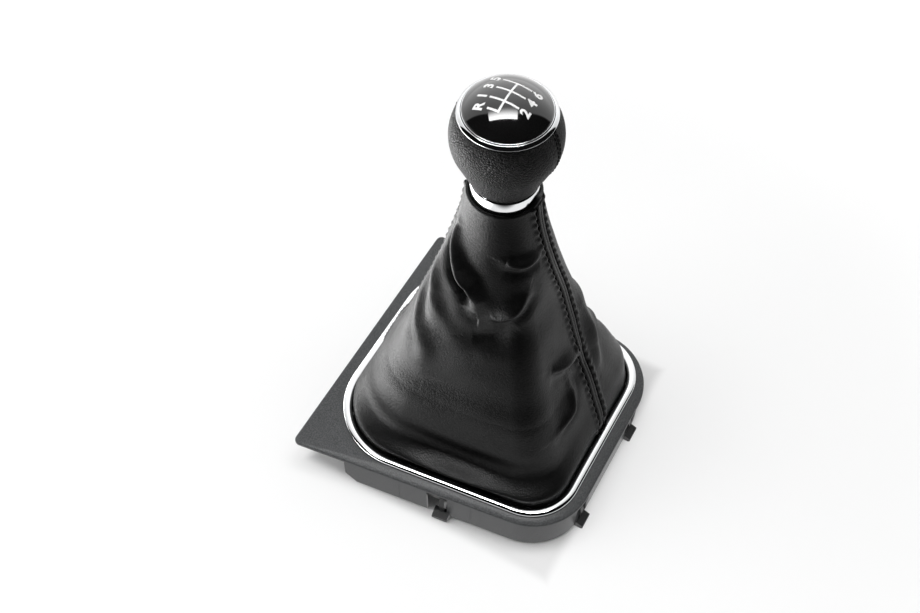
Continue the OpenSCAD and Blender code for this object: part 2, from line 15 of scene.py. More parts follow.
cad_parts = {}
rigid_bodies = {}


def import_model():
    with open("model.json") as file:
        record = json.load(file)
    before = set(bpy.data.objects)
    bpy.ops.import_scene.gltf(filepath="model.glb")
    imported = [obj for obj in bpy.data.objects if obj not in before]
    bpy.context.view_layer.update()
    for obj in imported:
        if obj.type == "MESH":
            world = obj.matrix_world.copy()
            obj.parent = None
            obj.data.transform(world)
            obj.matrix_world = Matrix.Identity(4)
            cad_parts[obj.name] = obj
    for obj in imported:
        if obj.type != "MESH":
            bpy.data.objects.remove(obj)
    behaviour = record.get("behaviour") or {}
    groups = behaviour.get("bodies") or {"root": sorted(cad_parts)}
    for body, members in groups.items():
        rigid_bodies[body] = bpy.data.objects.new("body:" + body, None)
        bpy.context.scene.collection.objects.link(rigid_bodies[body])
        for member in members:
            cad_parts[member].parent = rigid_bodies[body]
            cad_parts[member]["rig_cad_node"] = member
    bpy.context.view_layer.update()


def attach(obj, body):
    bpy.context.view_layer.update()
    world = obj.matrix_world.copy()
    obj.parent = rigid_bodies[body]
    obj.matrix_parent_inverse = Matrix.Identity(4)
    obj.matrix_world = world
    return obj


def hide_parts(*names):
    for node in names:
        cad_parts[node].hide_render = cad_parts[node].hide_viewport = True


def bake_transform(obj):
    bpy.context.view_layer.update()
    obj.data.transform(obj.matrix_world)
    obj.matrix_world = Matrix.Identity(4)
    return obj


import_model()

log = logging.getLogger("gear_knob")
MM = 0.001
FIGURE_SHARE = 0.7  # height of a number as a share of its text size


# Shapes that several pieces share


@dataclass(frozen=True)
class Trapezoid:
    """A rounded trapezoid round z, symmetric about x = 0, in metres."""

    front_y: float
    rear_y: float
    front_w: float
    rear_w: float
    front_r: float
    rear_r: float

    @property
    def slant(self) -> float:
        """Angle of the side lines to the y axis, in radians."""
        return math.atan((self.front_w - self.rear_w) / 2 / (self.front_y + self.rear_y))

    @property
    def side(self) -> float:
        """Distance of the side lines from the middle."""
        return self.front_w / 2 * math.cos(self.slant) - self.front_y * math.sin(self.slant)

    def corner(self, front: bool) -> tuple[float, float]:
        """Centre of the arc of a corner on the right.

        Args:
            front: Whether it is the front corner, or else the rear one.

        Returns:
            Its x and y.
        """
        y = self.front_y - self.front_r if front else self.rear_r - self.rear_y
        r = self.front_r if front else self.rear_r
        return (self.side - r + math.sin(self.slant) * y) / math.cos(self.slant), y

    def half_width(self, y: float, inset: float = 0.0) -> float:
        """Half the width at a place along the car, inset by a distance."""
        return (self.side - inset + math.sin(self.slant) * y) / math.cos(self.slant)

    def stations(self, arc_steps: int, side_steps: int) -> tuple[np.ndarray, np.ndarray]:
        """Points round the outline, anticlockwise, with their outward normals.

        Args:
            arc_steps: Steps along each corner's arc.
            side_steps: Steps along each straight side.

        Returns:
            Two arrays of (x, y), the points and the normals.
        """
        (fx, fy), (rx, ry), d = self.corner(True), self.corner(False), self.slant
        half = math.pi / 2
        arcs = [
            ((rx, ry), self.rear_r, -half, -d),
            ((fx, fy), self.front_r, -d, half),
            ((-fx, fy), self.front_r, half, math.pi + d),
            ((-rx, ry), self.rear_r, math.pi + d, math.pi + half),
        ]
        points, normals = [], []
        for k, (centre, r, a0, a1) in enumerate(arcs):
            angles = np.linspace(a0, a1, arc_steps + 1)
            n = np.stack([np.cos(angles), np.sin(angles)], 1)
            p = np.array(centre) + r * n
            points.append(p)
            normals.append(n)
            following = arcs[(k + 1) % 4]
            b0 = following[2]
            to = np.array(following[0]) + following[1] * np.array([math.cos(b0), math.sin(b0)])
            steps = np.linspace(0, 1, side_steps + 1)[1:-1, None]
            points.append(p[-1] * (1 - steps) + to * steps)
            normals.append(np.repeat(n[-1:], len(steps), 0))
        return np.concatenate(points), np.concatenate(normals)

    def reach(self, inset: float, angle: np.ndarray, y0: np.ndarray) -> np.ndarray:
        """Distance from (0, y0) to the inset outline in a direction.

        Args:
            inset: Distance in from the outline.
            angle: Directions, in radians.
            y0: Place of the start on the y axis, for each direction.

        Returns:
            The distances, in metres.
        """
        ux, uy = np.abs(np.cos(angle)), np.sin(angle)
        nx, ny = math.cos(self.slant), -math.sin(self.slant)
        rf, rr = self.front_r - inset, self.rear_r - inset
        (fx, fy), (rx, ry) = self.corner(True), self.corner(False)
        cfy, cry = fy - y0, ry - y0
        t = np.arctan2(uy, ux)

        def on_arc(cx: float, cy: np.ndarray, r: float) -> np.ndarray:
            """Distance to a corner's arc."""
            along = ux * cx + uy * cy
            return along + np.sqrt(np.maximum(along**2 - cx * cx - cy * cy + r * r, 0))

        flat_front = (self.front_y - inset - y0) / np.where(np.abs(uy) < 1e-9, 1, uy)
        flat_rear = (self.rear_y - inset + y0) / np.where(np.abs(uy) < 1e-9, 1, -uy)
        flat_side = (self.side - inset - ny * y0) / np.maximum(nx * ux + ny * uy, 1e-9)
        out = np.where(t > np.arctan2(cry - rr, rx), on_arc(rx, cry, rr), flat_rear)
        out = np.where(t >= np.arctan2(cry + rr * ny, rx + rr * nx), flat_side, out)
        out = np.where(t > np.arctan2(cfy + rf * ny, fx + rf * nx), on_arc(fx, cfy, rf), out)
        return np.where(t >= np.arctan2(cfy + rf, fx), flat_front, out)


@dataclass(frozen=True)
class Sizes:
    """The object's main sizes, in metres, as the solids have them."""

    plate_edge_z: float = 27 * MM
    ring_top: float = 31.4 * MM
    ring_w: float = 5.2 * MM
    leather_inset: float = 5.5 * MM
    mouth_z: float = 29.0 * MM
    hem_z: float = 12 * MM
    gaiter_top_z: float = 208.1 * MM
    gaiter_top_r: float = 17.5 * MM
    lever_y: float = -3.5 * MM
    collar_z: float = 208.9 * MM
    collar_h: float = 7.6 * MM
    collar_r: float = 15.9 * MM
    ball_z: float = 244 * MM
    ball_r: float = 25 * MM
    neck_z: float = 216.5 * MM
    neck_r: float = 15.7 * MM
    band_z: float = 257.1 * MM
    rim_z: float = 260.2 * MM
    cap_r: float = 19.2 * MM
    cap_dome_h: float = 8.7 * MM
    ring: Trapezoid = Trapezoid(72 * MM, 72 * MM, 151 * MM, 119.5 * MM, 41 * MM, 28 * MM)
    plate: Trapezoid = Trapezoid(80 * MM, 77.8 * MM, 165 * MM, 125 * MM, 3.5 * MM, 34 * MM)

    @property
    def dome_r(self) -> float:
        """Radius of the cap's dome."""
        return (self.cap_r**2 + self.cap_dome_h**2) / (2 * self.cap_dome_h)

    def dome_z(self, x: float, y: float) -> float:
        """Height of the cap's dome at a place measured from the lever's axis."""
        drop = self.dome_r - self.cap_dome_h
        return self.rim_z - drop + math.sqrt(max(self.dome_r**2 - x * x - y * y, 0))


# Bench: the few steps of modelling that every piece repeats


def deselect() -> None:
    """Leaves edit mode and selects nothing."""
    if bpy.context.mode != "OBJECT":
        bpy.ops.object.mode_set(mode="OBJECT")
    bpy.ops.object.select_all(action="DESELECT")


def take(obj: bpy.types.Object) -> None:
    """Makes one object the only selected one, and the active one.

    Args:
        obj: The object.
    """
    deselect()
    obj.select_set(True)
    bpy.context.view_layer.objects.active = obj


def to_edit(obj: bpy.types.Object) -> bmesh.types.BMesh:
    """Opens an object in edit mode.

    Args:
        obj: The object.

    Returns:
        Its mesh in edit mode.
    """
    take(obj)
    bpy.ops.object.mode_set(mode="EDIT")
    return bmesh.from_edit_mesh(obj.data)


def out_of_edit(obj: bpy.types.Object) -> bpy.types.Object:
    """Keeps the edits and goes back to object mode.

    Args:
        obj: The object that is open.

    Returns:
        The same object.
    """
    bmesh.update_edit_mesh(obj.data)
    bpy.ops.object.mode_set(mode="OBJECT")
    return obj


def turn(name: str, profile: list[tuple[float, float]], y: float,
         steps: int = 128) -> bpy.types.Object:
    """Turns a closed profile round the lever's axis.

    Args:
        name: Name of the piece.
        profile: Points (radius, height), in order round the section.
        y: Place of the axis along the car.
        steps: Steps round the axis.

    Returns:
        The turned piece.
    """
    deselect()
    bpy.ops.mesh.primitive_plane_add(size=MM)
    obj = bpy.context.object
    obj.name = name
    bm = to_edit(obj)
    bm.verts.ensure_lookup_table()
    for v in bm.verts[1:]:
        bm.verts.remove(v)
    bm.verts.ensure_lookup_table()
    first = bm.verts[0]
    first.co = Vector((profile[0][0], y, profile[0][1]))
    first.select_set(True)
    bmesh.update_edit_mesh(obj.data)
    for (r0, z0), (r1, z1) in zip(profile, profile[1:] + profile[:1]):
        bpy.ops.mesh.extrude_region_move(TRANSFORM_OT_translate={"value": (r1 - r0, 0, z1 - z0)})
    bpy.ops.mesh.select_all(action="SELECT")
    bpy.ops.mesh.remove_doubles(threshold=1e-7)
    bpy.ops.mesh.spin(steps=steps, angle=2 * math.pi, center=(0, y, 0), axis=(0, 0, 1))
    bpy.ops.mesh.select_all(action="SELECT")
    bpy.ops.mesh.remove_doubles(threshold=1e-6)
    bpy.ops.mesh.normals_make_consistent(inside=False)
    return out_of_edit(obj)


def loft(name: str, loops: np.ndarray, closed: bool = True) -> bpy.types.Object:
    """Extrudes one closed loop of points into the next, and bridges the last to the first.

    Args:
        name: Name of the piece.
        loops: Array of (loop, station, xyz).
        closed: Whether the last loop joins the first one.

    Returns:
        The lofted piece.
    """
    deselect()
    bpy.ops.mesh.primitive_circle_add(vertices=loops.shape[1], radius=MM)
    obj = bpy.context.object
    obj.name = name
    bm = to_edit(obj)
    station = bm.verts.layers.int.new("station")
    bm.verts.ensure_lookup_table()
    for k, v in enumerate(bm.verts):
        v[station] = k
        v.co = loops[0, k]
    bmesh.update_edit_mesh(obj.data)
    bpy.ops.mesh.select_all(action="SELECT")
    for points in loops[1:]:
        bpy.ops.mesh.extrude_region_move()
        bm = bmesh.from_edit_mesh(obj.data)
        station = bm.verts.layers.int["station"]
        for v in bm.verts:
            if v.select:
                v.co = points[v[station]]
        bmesh.update_edit_mesh(obj.data)
    if closed:
        bm = bmesh.from_edit_mesh(obj.data)
        for e in bm.edges:
            e.select_set(len(e.link_faces) == 1)
        bmesh.update_edit_mesh(obj.data)
        bpy.ops.mesh.bridge_edge_loops()
    bpy.ops.mesh.select_all(action="SELECT")
    bpy.ops.mesh.normals_make_consistent(inside=False)
    out_of_edit(obj)
    obj.data.attributes.remove(obj.data.attributes["station"])
    return obj


def sweep(name: str, path: Trapezoid, profile: list[tuple[float, float]], arc_steps: int = 28,
          side_steps: int = 10) -> bpy.types.Object:
    """Sweeps a closed profile round a rounded trapezoid.

    Args:
        name: Name of the piece.
        path: The outline that it follows.
        profile: Points (distance out from the outline, height).
        arc_steps: Steps along each corner's arc.
        side_steps: Steps along each straight side.

    Returns:
        The swept piece.
    """
    points, normals = path.stations(arc_steps, side_steps)
    loops = np.array([
        np.column_stack([points + out * normals, np.full(len(points), z)]) for out, z in profile
    ])
    return loft(name, loops)


def arc(cx: float, cz: float, r: float, start: float, end: float,
        steps: int) -> list[tuple[float, float]]:
    """Points on an arc of a profile.

    Args:
        cx: Radius or distance of its centre.
        cz: Height of its centre.
        r: Its own radius.
        start: Angle of its first point, in degrees.
        end: Angle of its last point, in degrees.
        steps: Steps along it.

    Returns:
        The points.
    """
    return [
        (cx + r * math.cos(math.radians(a)), cz + r * math.sin(math.radians(a)))
        for a in np.linspace(start, end, steps + 1)
    ]


def box(low: tuple[float, float, float], high: tuple[float, float, float],
        place: Matrix = Matrix.Identity(4)) -> bpy.types.Object:
    """A box between two corners.

    Args:
        low: Its lowest corner.
        high: Its highest corner.
        place: Where the corners' own axes stand.

    Returns:
        The box.
    """
    deselect()
    bpy.ops.mesh.primitive_cube_add(size=1.0)
    obj = bpy.context.object
    bm = to_edit(obj)
    for v in bm.verts:
        v.co = place @ Vector([(a + b) / 2 + c * (b - a) for a, b, c in zip(low, high, v.co)])
    bmesh.update_edit_mesh(obj.data)
    bpy.ops.mesh.select_all(action="SELECT")
    bpy.ops.mesh.normals_make_consistent(inside=False)
    return out_of_edit(obj)


def cut(obj: bpy.types.Object, cutters: list[bpy.types.Object]) -> None:
    """Takes each cutter out of a piece and removes the cutters.

    Args:
        obj: The piece.
        cutters: The cutters.
    """
    for cutter in cutters:
        modify(obj, "BOOLEAN", operation="DIFFERENCE", solver="EXACT", object=cutter)
        bpy.data.objects.remove(cutter)


def from_points(name: str, points: np.ndarray, faces: list[list[int]]) -> bpy.types.Object:
    """Makes a piece from points and faces worked out in code.

    Args:
        name: Name of the piece.
        points: Array of (point, xyz).
        faces: The points of each face.

    Returns:
        The piece.
    """
    mesh = bpy.data.meshes.new(name)
    mesh.from_pydata(points.tolist(), [], faces)
    mesh.update()
    obj = bpy.data.objects.new(name, mesh)
    bpy.context.collection.objects.link(obj)
    return obj


def modify(obj: bpy.types.Object, kind: str, **settings: object) -> None:
    """Adds a modifier and applies it.

    Args:
        obj: The piece.
        kind: The modifier's type.
        **settings: Its settings.
    """
    take(obj)
    modifier = obj.modifiers.new(kind.lower(), kind)
    for key, value in settings.items():
        setattr(modifier, key, value)
    bpy.ops.object.modifier_apply(modifier=modifier.name)


def smooth(obj: bpy.types.Object, angle: float = 40.0) -> bpy.types.Object:
    """Shades a piece smooth.

    Args:
        obj: The piece.
        angle: The sharpest edge that stays smooth, in degrees.

    Returns:
        The same piece.
    """
    take(obj)
    bpy.ops.object.shade_smooth_by_angle(angle=math.radians(angle))
    return obj


# Finishes


def new_group(name: str, inputs: dict[str, float], outputs: list[str]) -> bpy.types.NodeTree:
    """Starts a shader node group with value inputs and value outputs.

    Args:
        name: Name of the group.
        inputs: Names and defaults of its value inputs.
        outputs: Names of its outputs.

    Returns:
        The group's node tree, with its input and output nodes.
    """
    tree = bpy.data.node_groups.new(name, "ShaderNodeTree")
    for key, value in inputs.items():
        socket = tree.interface.new_socket(key, in_out="INPUT", socket_type="NodeSocketFloat")
        socket.default_value = value
    for key in outputs:
        tree.interface.new_socket(key, in_out="OUTPUT", socket_type="NodeSocketFloat")
    tree.nodes.new("NodeGroupInput").name = "in"
    tree.nodes.new("NodeGroupOutput").name = "out"
    return tree


class Wiring:
    """Short ways to add and join the nodes of one tree."""

    def __init__(self, tree: bpy.types.NodeTree) -> None:
        """Keeps the tree."""
        self.tree = tree

    def node(self, kind: str, **values: object) -> bpy.types.Node:
        """Adds a node.

        Args:
            kind: Type of the node.
            **values: Its properties, or its inputs where no property has the name.

        Returns:
            The node.
        """
        n = self.tree.nodes.new(kind)
        for key, value in values.items():
            if hasattr(n, key):
                setattr(n, key, value)
            else:
                self.feed(value, n.inputs[key.replace("_", " ")])
        return n

    def feed(self, value: object, socket: bpy.types.NodeSocket) -> None:
        """Links a socket to an input, or sets the input's value.

        Args:
            value: The socket or the value.
            socket: The input.
        """
        if isinstance(value, bpy.types.NodeSocket):
            self.tree.links.new(value, socket)
        else:
            socket.default_value = value

    def maths(self, operation: str, a: object, b: object = 0.0) -> bpy.types.NodeSocket:
        """Works out a Math node.

        Args:
            operation: What it does.
            a: Its first value or socket.
            b: Its second value or socket.

        Returns:
            Its result.
        """
        n = self.node("ShaderNodeMath", operation=operation)
        self.feed(a, n.inputs[0])
        self.feed(b, n.inputs[1])
        return n.outputs[0]

    def dot(self, a: object, b: Vector) -> bpy.types.NodeSocket:
        """The dot product of a vector socket and a fixed vector.

        Args:
            a: The socket.
            b: The fixed vector.

        Returns:
            The product.
        """
        n = self.node("ShaderNodeVectorMath", operation="DOT_PRODUCT")
        self.feed(a, n.inputs[0])
        n.inputs[1].default_value = b
        return n.outputs["Value"]

    def ramp(self, value: object, low: float, high: float, to_low: float = 0.0,
             to_high: object = 1.0) -> bpy.types.NodeSocket:
        """Maps a value from one range to another, smoothly and clamped.

        Args:
            value: The value or socket.
            low: Start of its range.
            high: End of its range.
            to_low: Result at the start.
            to_high: Result at the end, which may be a socket.

        Returns:
            The result.
        """
        n = self.node("ShaderNodeMapRange", interpolation_type="SMOOTHSTEP")
        for socket, v in zip(n.inputs, (value, low, high, to_low, to_high)):
            self.feed(v, socket)
        return n.outputs[0]

    def mix(self, factor: object, a: object, b: object) -> bpy.types.NodeSocket:
        """Mixes two colours.

        Args:
            factor: Share of the second one.
            a: The first colour.
            b: The second colour.

        Returns:
            The mixed colour.
        """
        n = self.node("ShaderNodeMix", data_type="RGBA")
        self.feed(factor, n.inputs[0])
        self.feed(a, n.inputs[6])
        self.feed(b, n.inputs[7])
        return n.outputs[2]

    def here(self) -> bpy.types.NodeSocket:
        """The piece's own coordinates."""
        return self.node("ShaderNodeTexCoord").outputs["Object"]

    def noise(self, scale: float, detail: float = 2.0) -> bpy.types.NodeSocket:
        """Noise on the piece's own coordinates, from 0 to 1."""
        where = self.here()
        return self.node("ShaderNodeTexNoise", Scale=scale, Detail=detail, Vector=where).outputs[0]

    def glow(self, level: object, out: bpy.types.NodeSocket) -> None:
        """Makes a material glow white, at a strength of its own."""
        glow = self.node("ShaderNodeEmission", Color=grey(1.0), Strength=level)
        self.feed(glow.outputs[0], out)


@cache
def hide_grain() -> bpy.types.NodeTree:
    """Pebbled grain of finished leather.

    Returns:
        A group with outputs Height, Crease and Tone, each from 0 to 1.
    """
    wander_m, crease_w, crease_share, pore_share = 0.0022, 0.16, 0.35, 0.3
    tree = new_group("leather grain", {"Pebbles per metre": 900.0, "Wander": 0.5},
                     ["Height", "Crease", "Tone"])
    w = Wiring(tree)
    src, out = tree.nodes["in"], tree.nodes["out"]
    where = w.here()
    bend = w.node("ShaderNodeTexNoise", Scale=420.0, Detail=2.0, Vector=where)
    shift = w.node("ShaderNodeVectorMath", operation="SCALE")
    w.feed(bend.outputs[1], shift.inputs[0])
    w.feed(w.maths("MULTIPLY", src.outputs["Wander"], wander_m), shift.inputs["Scale"])
    moved = w.node("ShaderNodeVectorMath", operation="ADD")
    w.feed(where, moved.inputs[0])
    w.feed(shift.outputs[0], moved.inputs[1])
    cells = w.node("ShaderNodeTexVoronoi", feature="SMOOTH_F1", Vector=moved.outputs[0],
                   Scale=src.outputs["Pebbles per metre"], Smoothness=0.35)
    edges = w.node("ShaderNodeTexVoronoi", feature="DISTANCE_TO_EDGE", Vector=moved.outputs[0],
                   Scale=src.outputs["Pebbles per metre"])
    crease = w.ramp(edges.outputs["Distance"], 0.0, crease_w, 1.0, 0.0)
    pores = w.noise(2600.0, 2.0)
    height = w.maths("SUBTRACT", w.maths("SUBTRACT", 1.0, cells.outputs["Distance"]),
                     w.maths("MULTIPLY", crease, crease_share))
    w.feed(w.maths("ADD", height, w.maths("MULTIPLY", pores, pore_share)), out.inputs["Height"])
    w.feed(crease, out.inputs["Crease"])
    w.feed(w.ramp(w.noise(28.0, 3.0), 0.35, 0.65), out.inputs["Tone"])
    return tree


@cache
def mould_grain() -> bpy.types.NodeTree:
    """Fine eroded texture of moulded plastic.

    Returns:
        A group with outputs Height and Fleck, each from 0 to 1.
    """
    cell_share = 0.5
    tree = new_group("moulded grain", {"Grains per metre": 1800.0}, ["Height", "Fleck"])
    w = Wiring(tree)
    src, out = tree.nodes["in"], tree.nodes["out"]
    where = w.here()
    fine = w.node("ShaderNodeTexNoise", Detail=3.0, Vector=where,
                  Scale=src.outputs["Grains per metre"])
    cells = w.node("ShaderNodeTexVoronoi", Vector=where, Scale=src.outputs["Grains per metre"])
    rough = w.maths("MULTIPLY", cells.outputs["Distance"], cell_share)
    w.feed(w.maths("ADD", fine.outputs[0], rough), out.inputs["Height"])
    w.feed(w.ramp(fine.outputs[0], 0.4, 0.62), out.inputs["Fleck"])
    return tree


@cache
def handling() -> bpy.types.NodeTree:
    """Faint marks of polishing and handling on smooth parts.

    Returns:
        A group with the output Haze, from 0 to 1.
    """
    tree = new_group("handling marks", {"Marks per metre": 60.0}, ["Haze"])
    w = Wiring(tree)
    src, out = tree.nodes["in"], tree.nodes["out"]
    haze = w.node("ShaderNodeTexNoise", Detail=4.0, Vector=w.here(),
                  Scale=src.outputs["Marks per metre"])
    w.feed(w.ramp(haze.outputs[0], 0.4, 0.7), out.inputs["Haze"])
    return tree


def start_material(name: str) -> tuple[bpy.types.Material, Wiring, bpy.types.Node]:
    """A node material with its Principled shader.

    Args:
        name: Name of the material.

    Returns:
        The material, its wiring and its Principled node.
    """
    material = bpy.data.materials.new(name)
    material.use_nodes = True
    return material, Wiring(material.node_tree), material.node_tree.nodes["Principled BSDF"]


def grey(value: float, blue: float = 0.0) -> tuple[float, float, float, float]:
    """A grey in linear light, with a little blue."""
    return value, value * (1 + blue / 2), value * (1 + blue), 1.0


@dataclass(frozen=True)
class LeatherFinish:
    """Black finished leather with a pebbled grain."""

    name: str
    low: float = 0.0015
    high: float = 0.004
    roughness: float = 0.36
    pebbles: float = 950.0
    relief: float = 0.09 * MM
    shine: float = 0.25
    # painted shade: how much darker the grain's creases are painted
    painted_crease_shade: float = 0.6
    crease_rough: float = 0.12

    def material(self) -> bpy.types.Material:
        """Builds the node material.

        Returns:
            The material.
        """
        material, w, skin = start_material(self.name)
        grain = w.node("ShaderNodeGroup", node_tree=hide_grain())
        grain.inputs["Pebbles per metre"].default_value = self.pebbles
        tone, crease = grain.outputs["Tone"], grain.outputs["Crease"]
        worn = w.mix(tone, grey(self.low), grey(self.high, 0.05))
        # Painted shade: the base colour is darker in the grain's creases.
        w.feed(w.mix(crease, worn, grey(self.low * self.painted_crease_shade)), skin.inputs["Base Color"])
        rough = w.ramp(tone, 0.0, 1.0, self.roughness - 0.04, self.roughness + 0.05)
        w.feed(w.maths("ADD", rough, w.maths("MULTIPLY", crease, self.crease_rough)),
               skin.inputs["Roughness"])
        bump = w.node("ShaderNodeBump", Strength=0.8, Distance=self.relief,
                      Height=grain.outputs["Height"])
        w.feed(bump.outputs[0], skin.inputs["Normal"])
        skin.inputs["Specular IOR Level"].default_value = self.shine
        return material


@dataclass(frozen=True)
class PlasticFinish:
    """Moulded plastic with a fine eroded texture."""

    name: str
    shade: float
    blue: float = 0.06
    roughness: float = 0.5
    grains: float = 1800.0
    relief: float = 0.05 * MM
    shine: float = 0.4
    fleck: float = 0.3

    def material(self) -> bpy.types.Material:
        """Builds the node material.

        Returns:
            The material.
        """
        material, w, skin = start_material(self.name)
        grain = w.node("ShaderNodeGroup", node_tree=mould_grain())
        grain.inputs["Grains per metre"].default_value = self.grains
        fleck = grain.outputs["Fleck"]
        dark, pale = self.shade * (1 - self.fleck), self.shade * (1 + self.fleck)
        w.feed(w.mix(fleck, grey(dark, self.blue), grey(pale, self.blue)),
               skin.inputs["Base Color"])
        w.feed(w.ramp(fleck, 0.0, 1.0, self.roughness - 0.05, self.roughness + 0.05),
               skin.inputs["Roughness"])
        bump = w.node("ShaderNodeBump", Strength=0.5, Distance=self.relief,
                      Height=grain.outputs["Height"])
        w.feed(bump.outputs[0], skin.inputs["Normal"])
        skin.inputs["Specular IOR Level"].default_value = self.shine
        return material


@dataclass(frozen=True)
class MetalFinish:
    """Bright plated metal."""

    name: str
    shade: float = 0.86
    roughness: float = 0.05
    haze: float = 0.05

    def material(self) -> bpy.types.Material:
        """Builds the node material.

        Returns:
            The material.
        """
        material, w, skin = start_material(self.name)
        marks = w.node("ShaderNodeGroup", node_tree=handling())
        w.feed(w.mix(marks.outputs["Haze"], grey(self.shade, 0.02), grey(self.shade * 0.95, 0.03)),
               skin.inputs["Base Color"])
        w.feed(w.ramp(marks.outputs["Haze"], 0.0, 1.0, self.roughness, self.roughness + self.haze),
               skin.inputs["Roughness"])
        skin.inputs["Metallic"].default_value = 1.0
        return material


@dataclass(frozen=True)
class LacquerFinish:
    """Piano black under a clear coat."""

    name: str
    shade: float = 0.004

    def material(self) -> bpy.types.Material:
        """Builds the node material.

        Returns:
            The material.
        """
        material, w, skin = start_material(self.name)
        marks = w.node("ShaderNodeGroup", node_tree=handling())
        w.feed(w.mix(marks.outputs["Haze"], grey(self.shade), grey(self.shade * 1.3)),
               skin.inputs["Base Color"])
        w.feed(w.ramp(marks.outputs["Haze"], 0.0, 1.0, 0.04, 0.09), skin.inputs["Roughness"])
        skin.inputs["Coat Weight"].default_value = 1.0
        skin.inputs["Coat Roughness"].default_value = 0.02
        return material


@dataclass(frozen=True)
class PaintFinish:
    """Printed paint, or waxed thread, with a slightly uneven tone."""

    name: str
    shade: float
    roughness: float = 0.5
    twists: float = 1500.0
    shine: float = 0.5

    def material(self) -> bpy.types.Material:
        """Builds the node material.

        Returns:
            The material.
        """
        material, w, skin = start_material(self.name)
        tone = w.ramp(w.noise(self.twists, 2.0), 0.35, 0.65)
        w.feed(w.mix(tone, grey(self.shade * 0.88), grey(self.shade)), skin.inputs["Base Color"])
        skin.inputs["Roughness"].default_value = self.roughness
        skin.inputs["Specular IOR Level"].default_value = self.shine
        return material


class Finish(Enum):
    """The finishes of this object, with the record's slot for each."""

    PLATE = ("plate_plastic", PlasticFinish("anthracite plate", 0.06, roughness=0.33,
                                            relief=0.12 * MM, shine=0.22))
    BLACK = ("black_plastic", PlasticFinish("black plastic", 0.012, roughness=0.42))
    CHROME = ("chrome", MetalFinish("bright chrome"))
    LEATHER = ("leather", LeatherFinish("black leather"))
    BALL = ("leather", LeatherFinish("ball leather", roughness=0.42, pebbles=1100.0,
                                     relief=0.6 * MM, shine=0.26))
    STEEL = ("steel", MetalFinish("drawn steel", 0.55, 0.28, 0.12))
    CAP = ("cap_gloss", LacquerFinish("gloss cap"))
    WHITE = ("cap_gloss", PaintFinish("white print", 0.82, 0.35, 300.0))
    THREAD = ("leather", PaintFinish("black thread", 0.002, 0.6, shine=0.06))

    def on(self, obj: bpy.types.Object) -> bpy.types.Object:
        """Gives a piece this finish, in place of its own materials.

        Args:
            obj: The piece.

        Returns:
            The same piece.
        """
        slot, finish = self.value
        material = bpy.data.materials.get(finish.name) or finish.material()
        obj.data.materials.clear()
        obj.data.materials.append(material)
        return obj


# Sub-assemblies


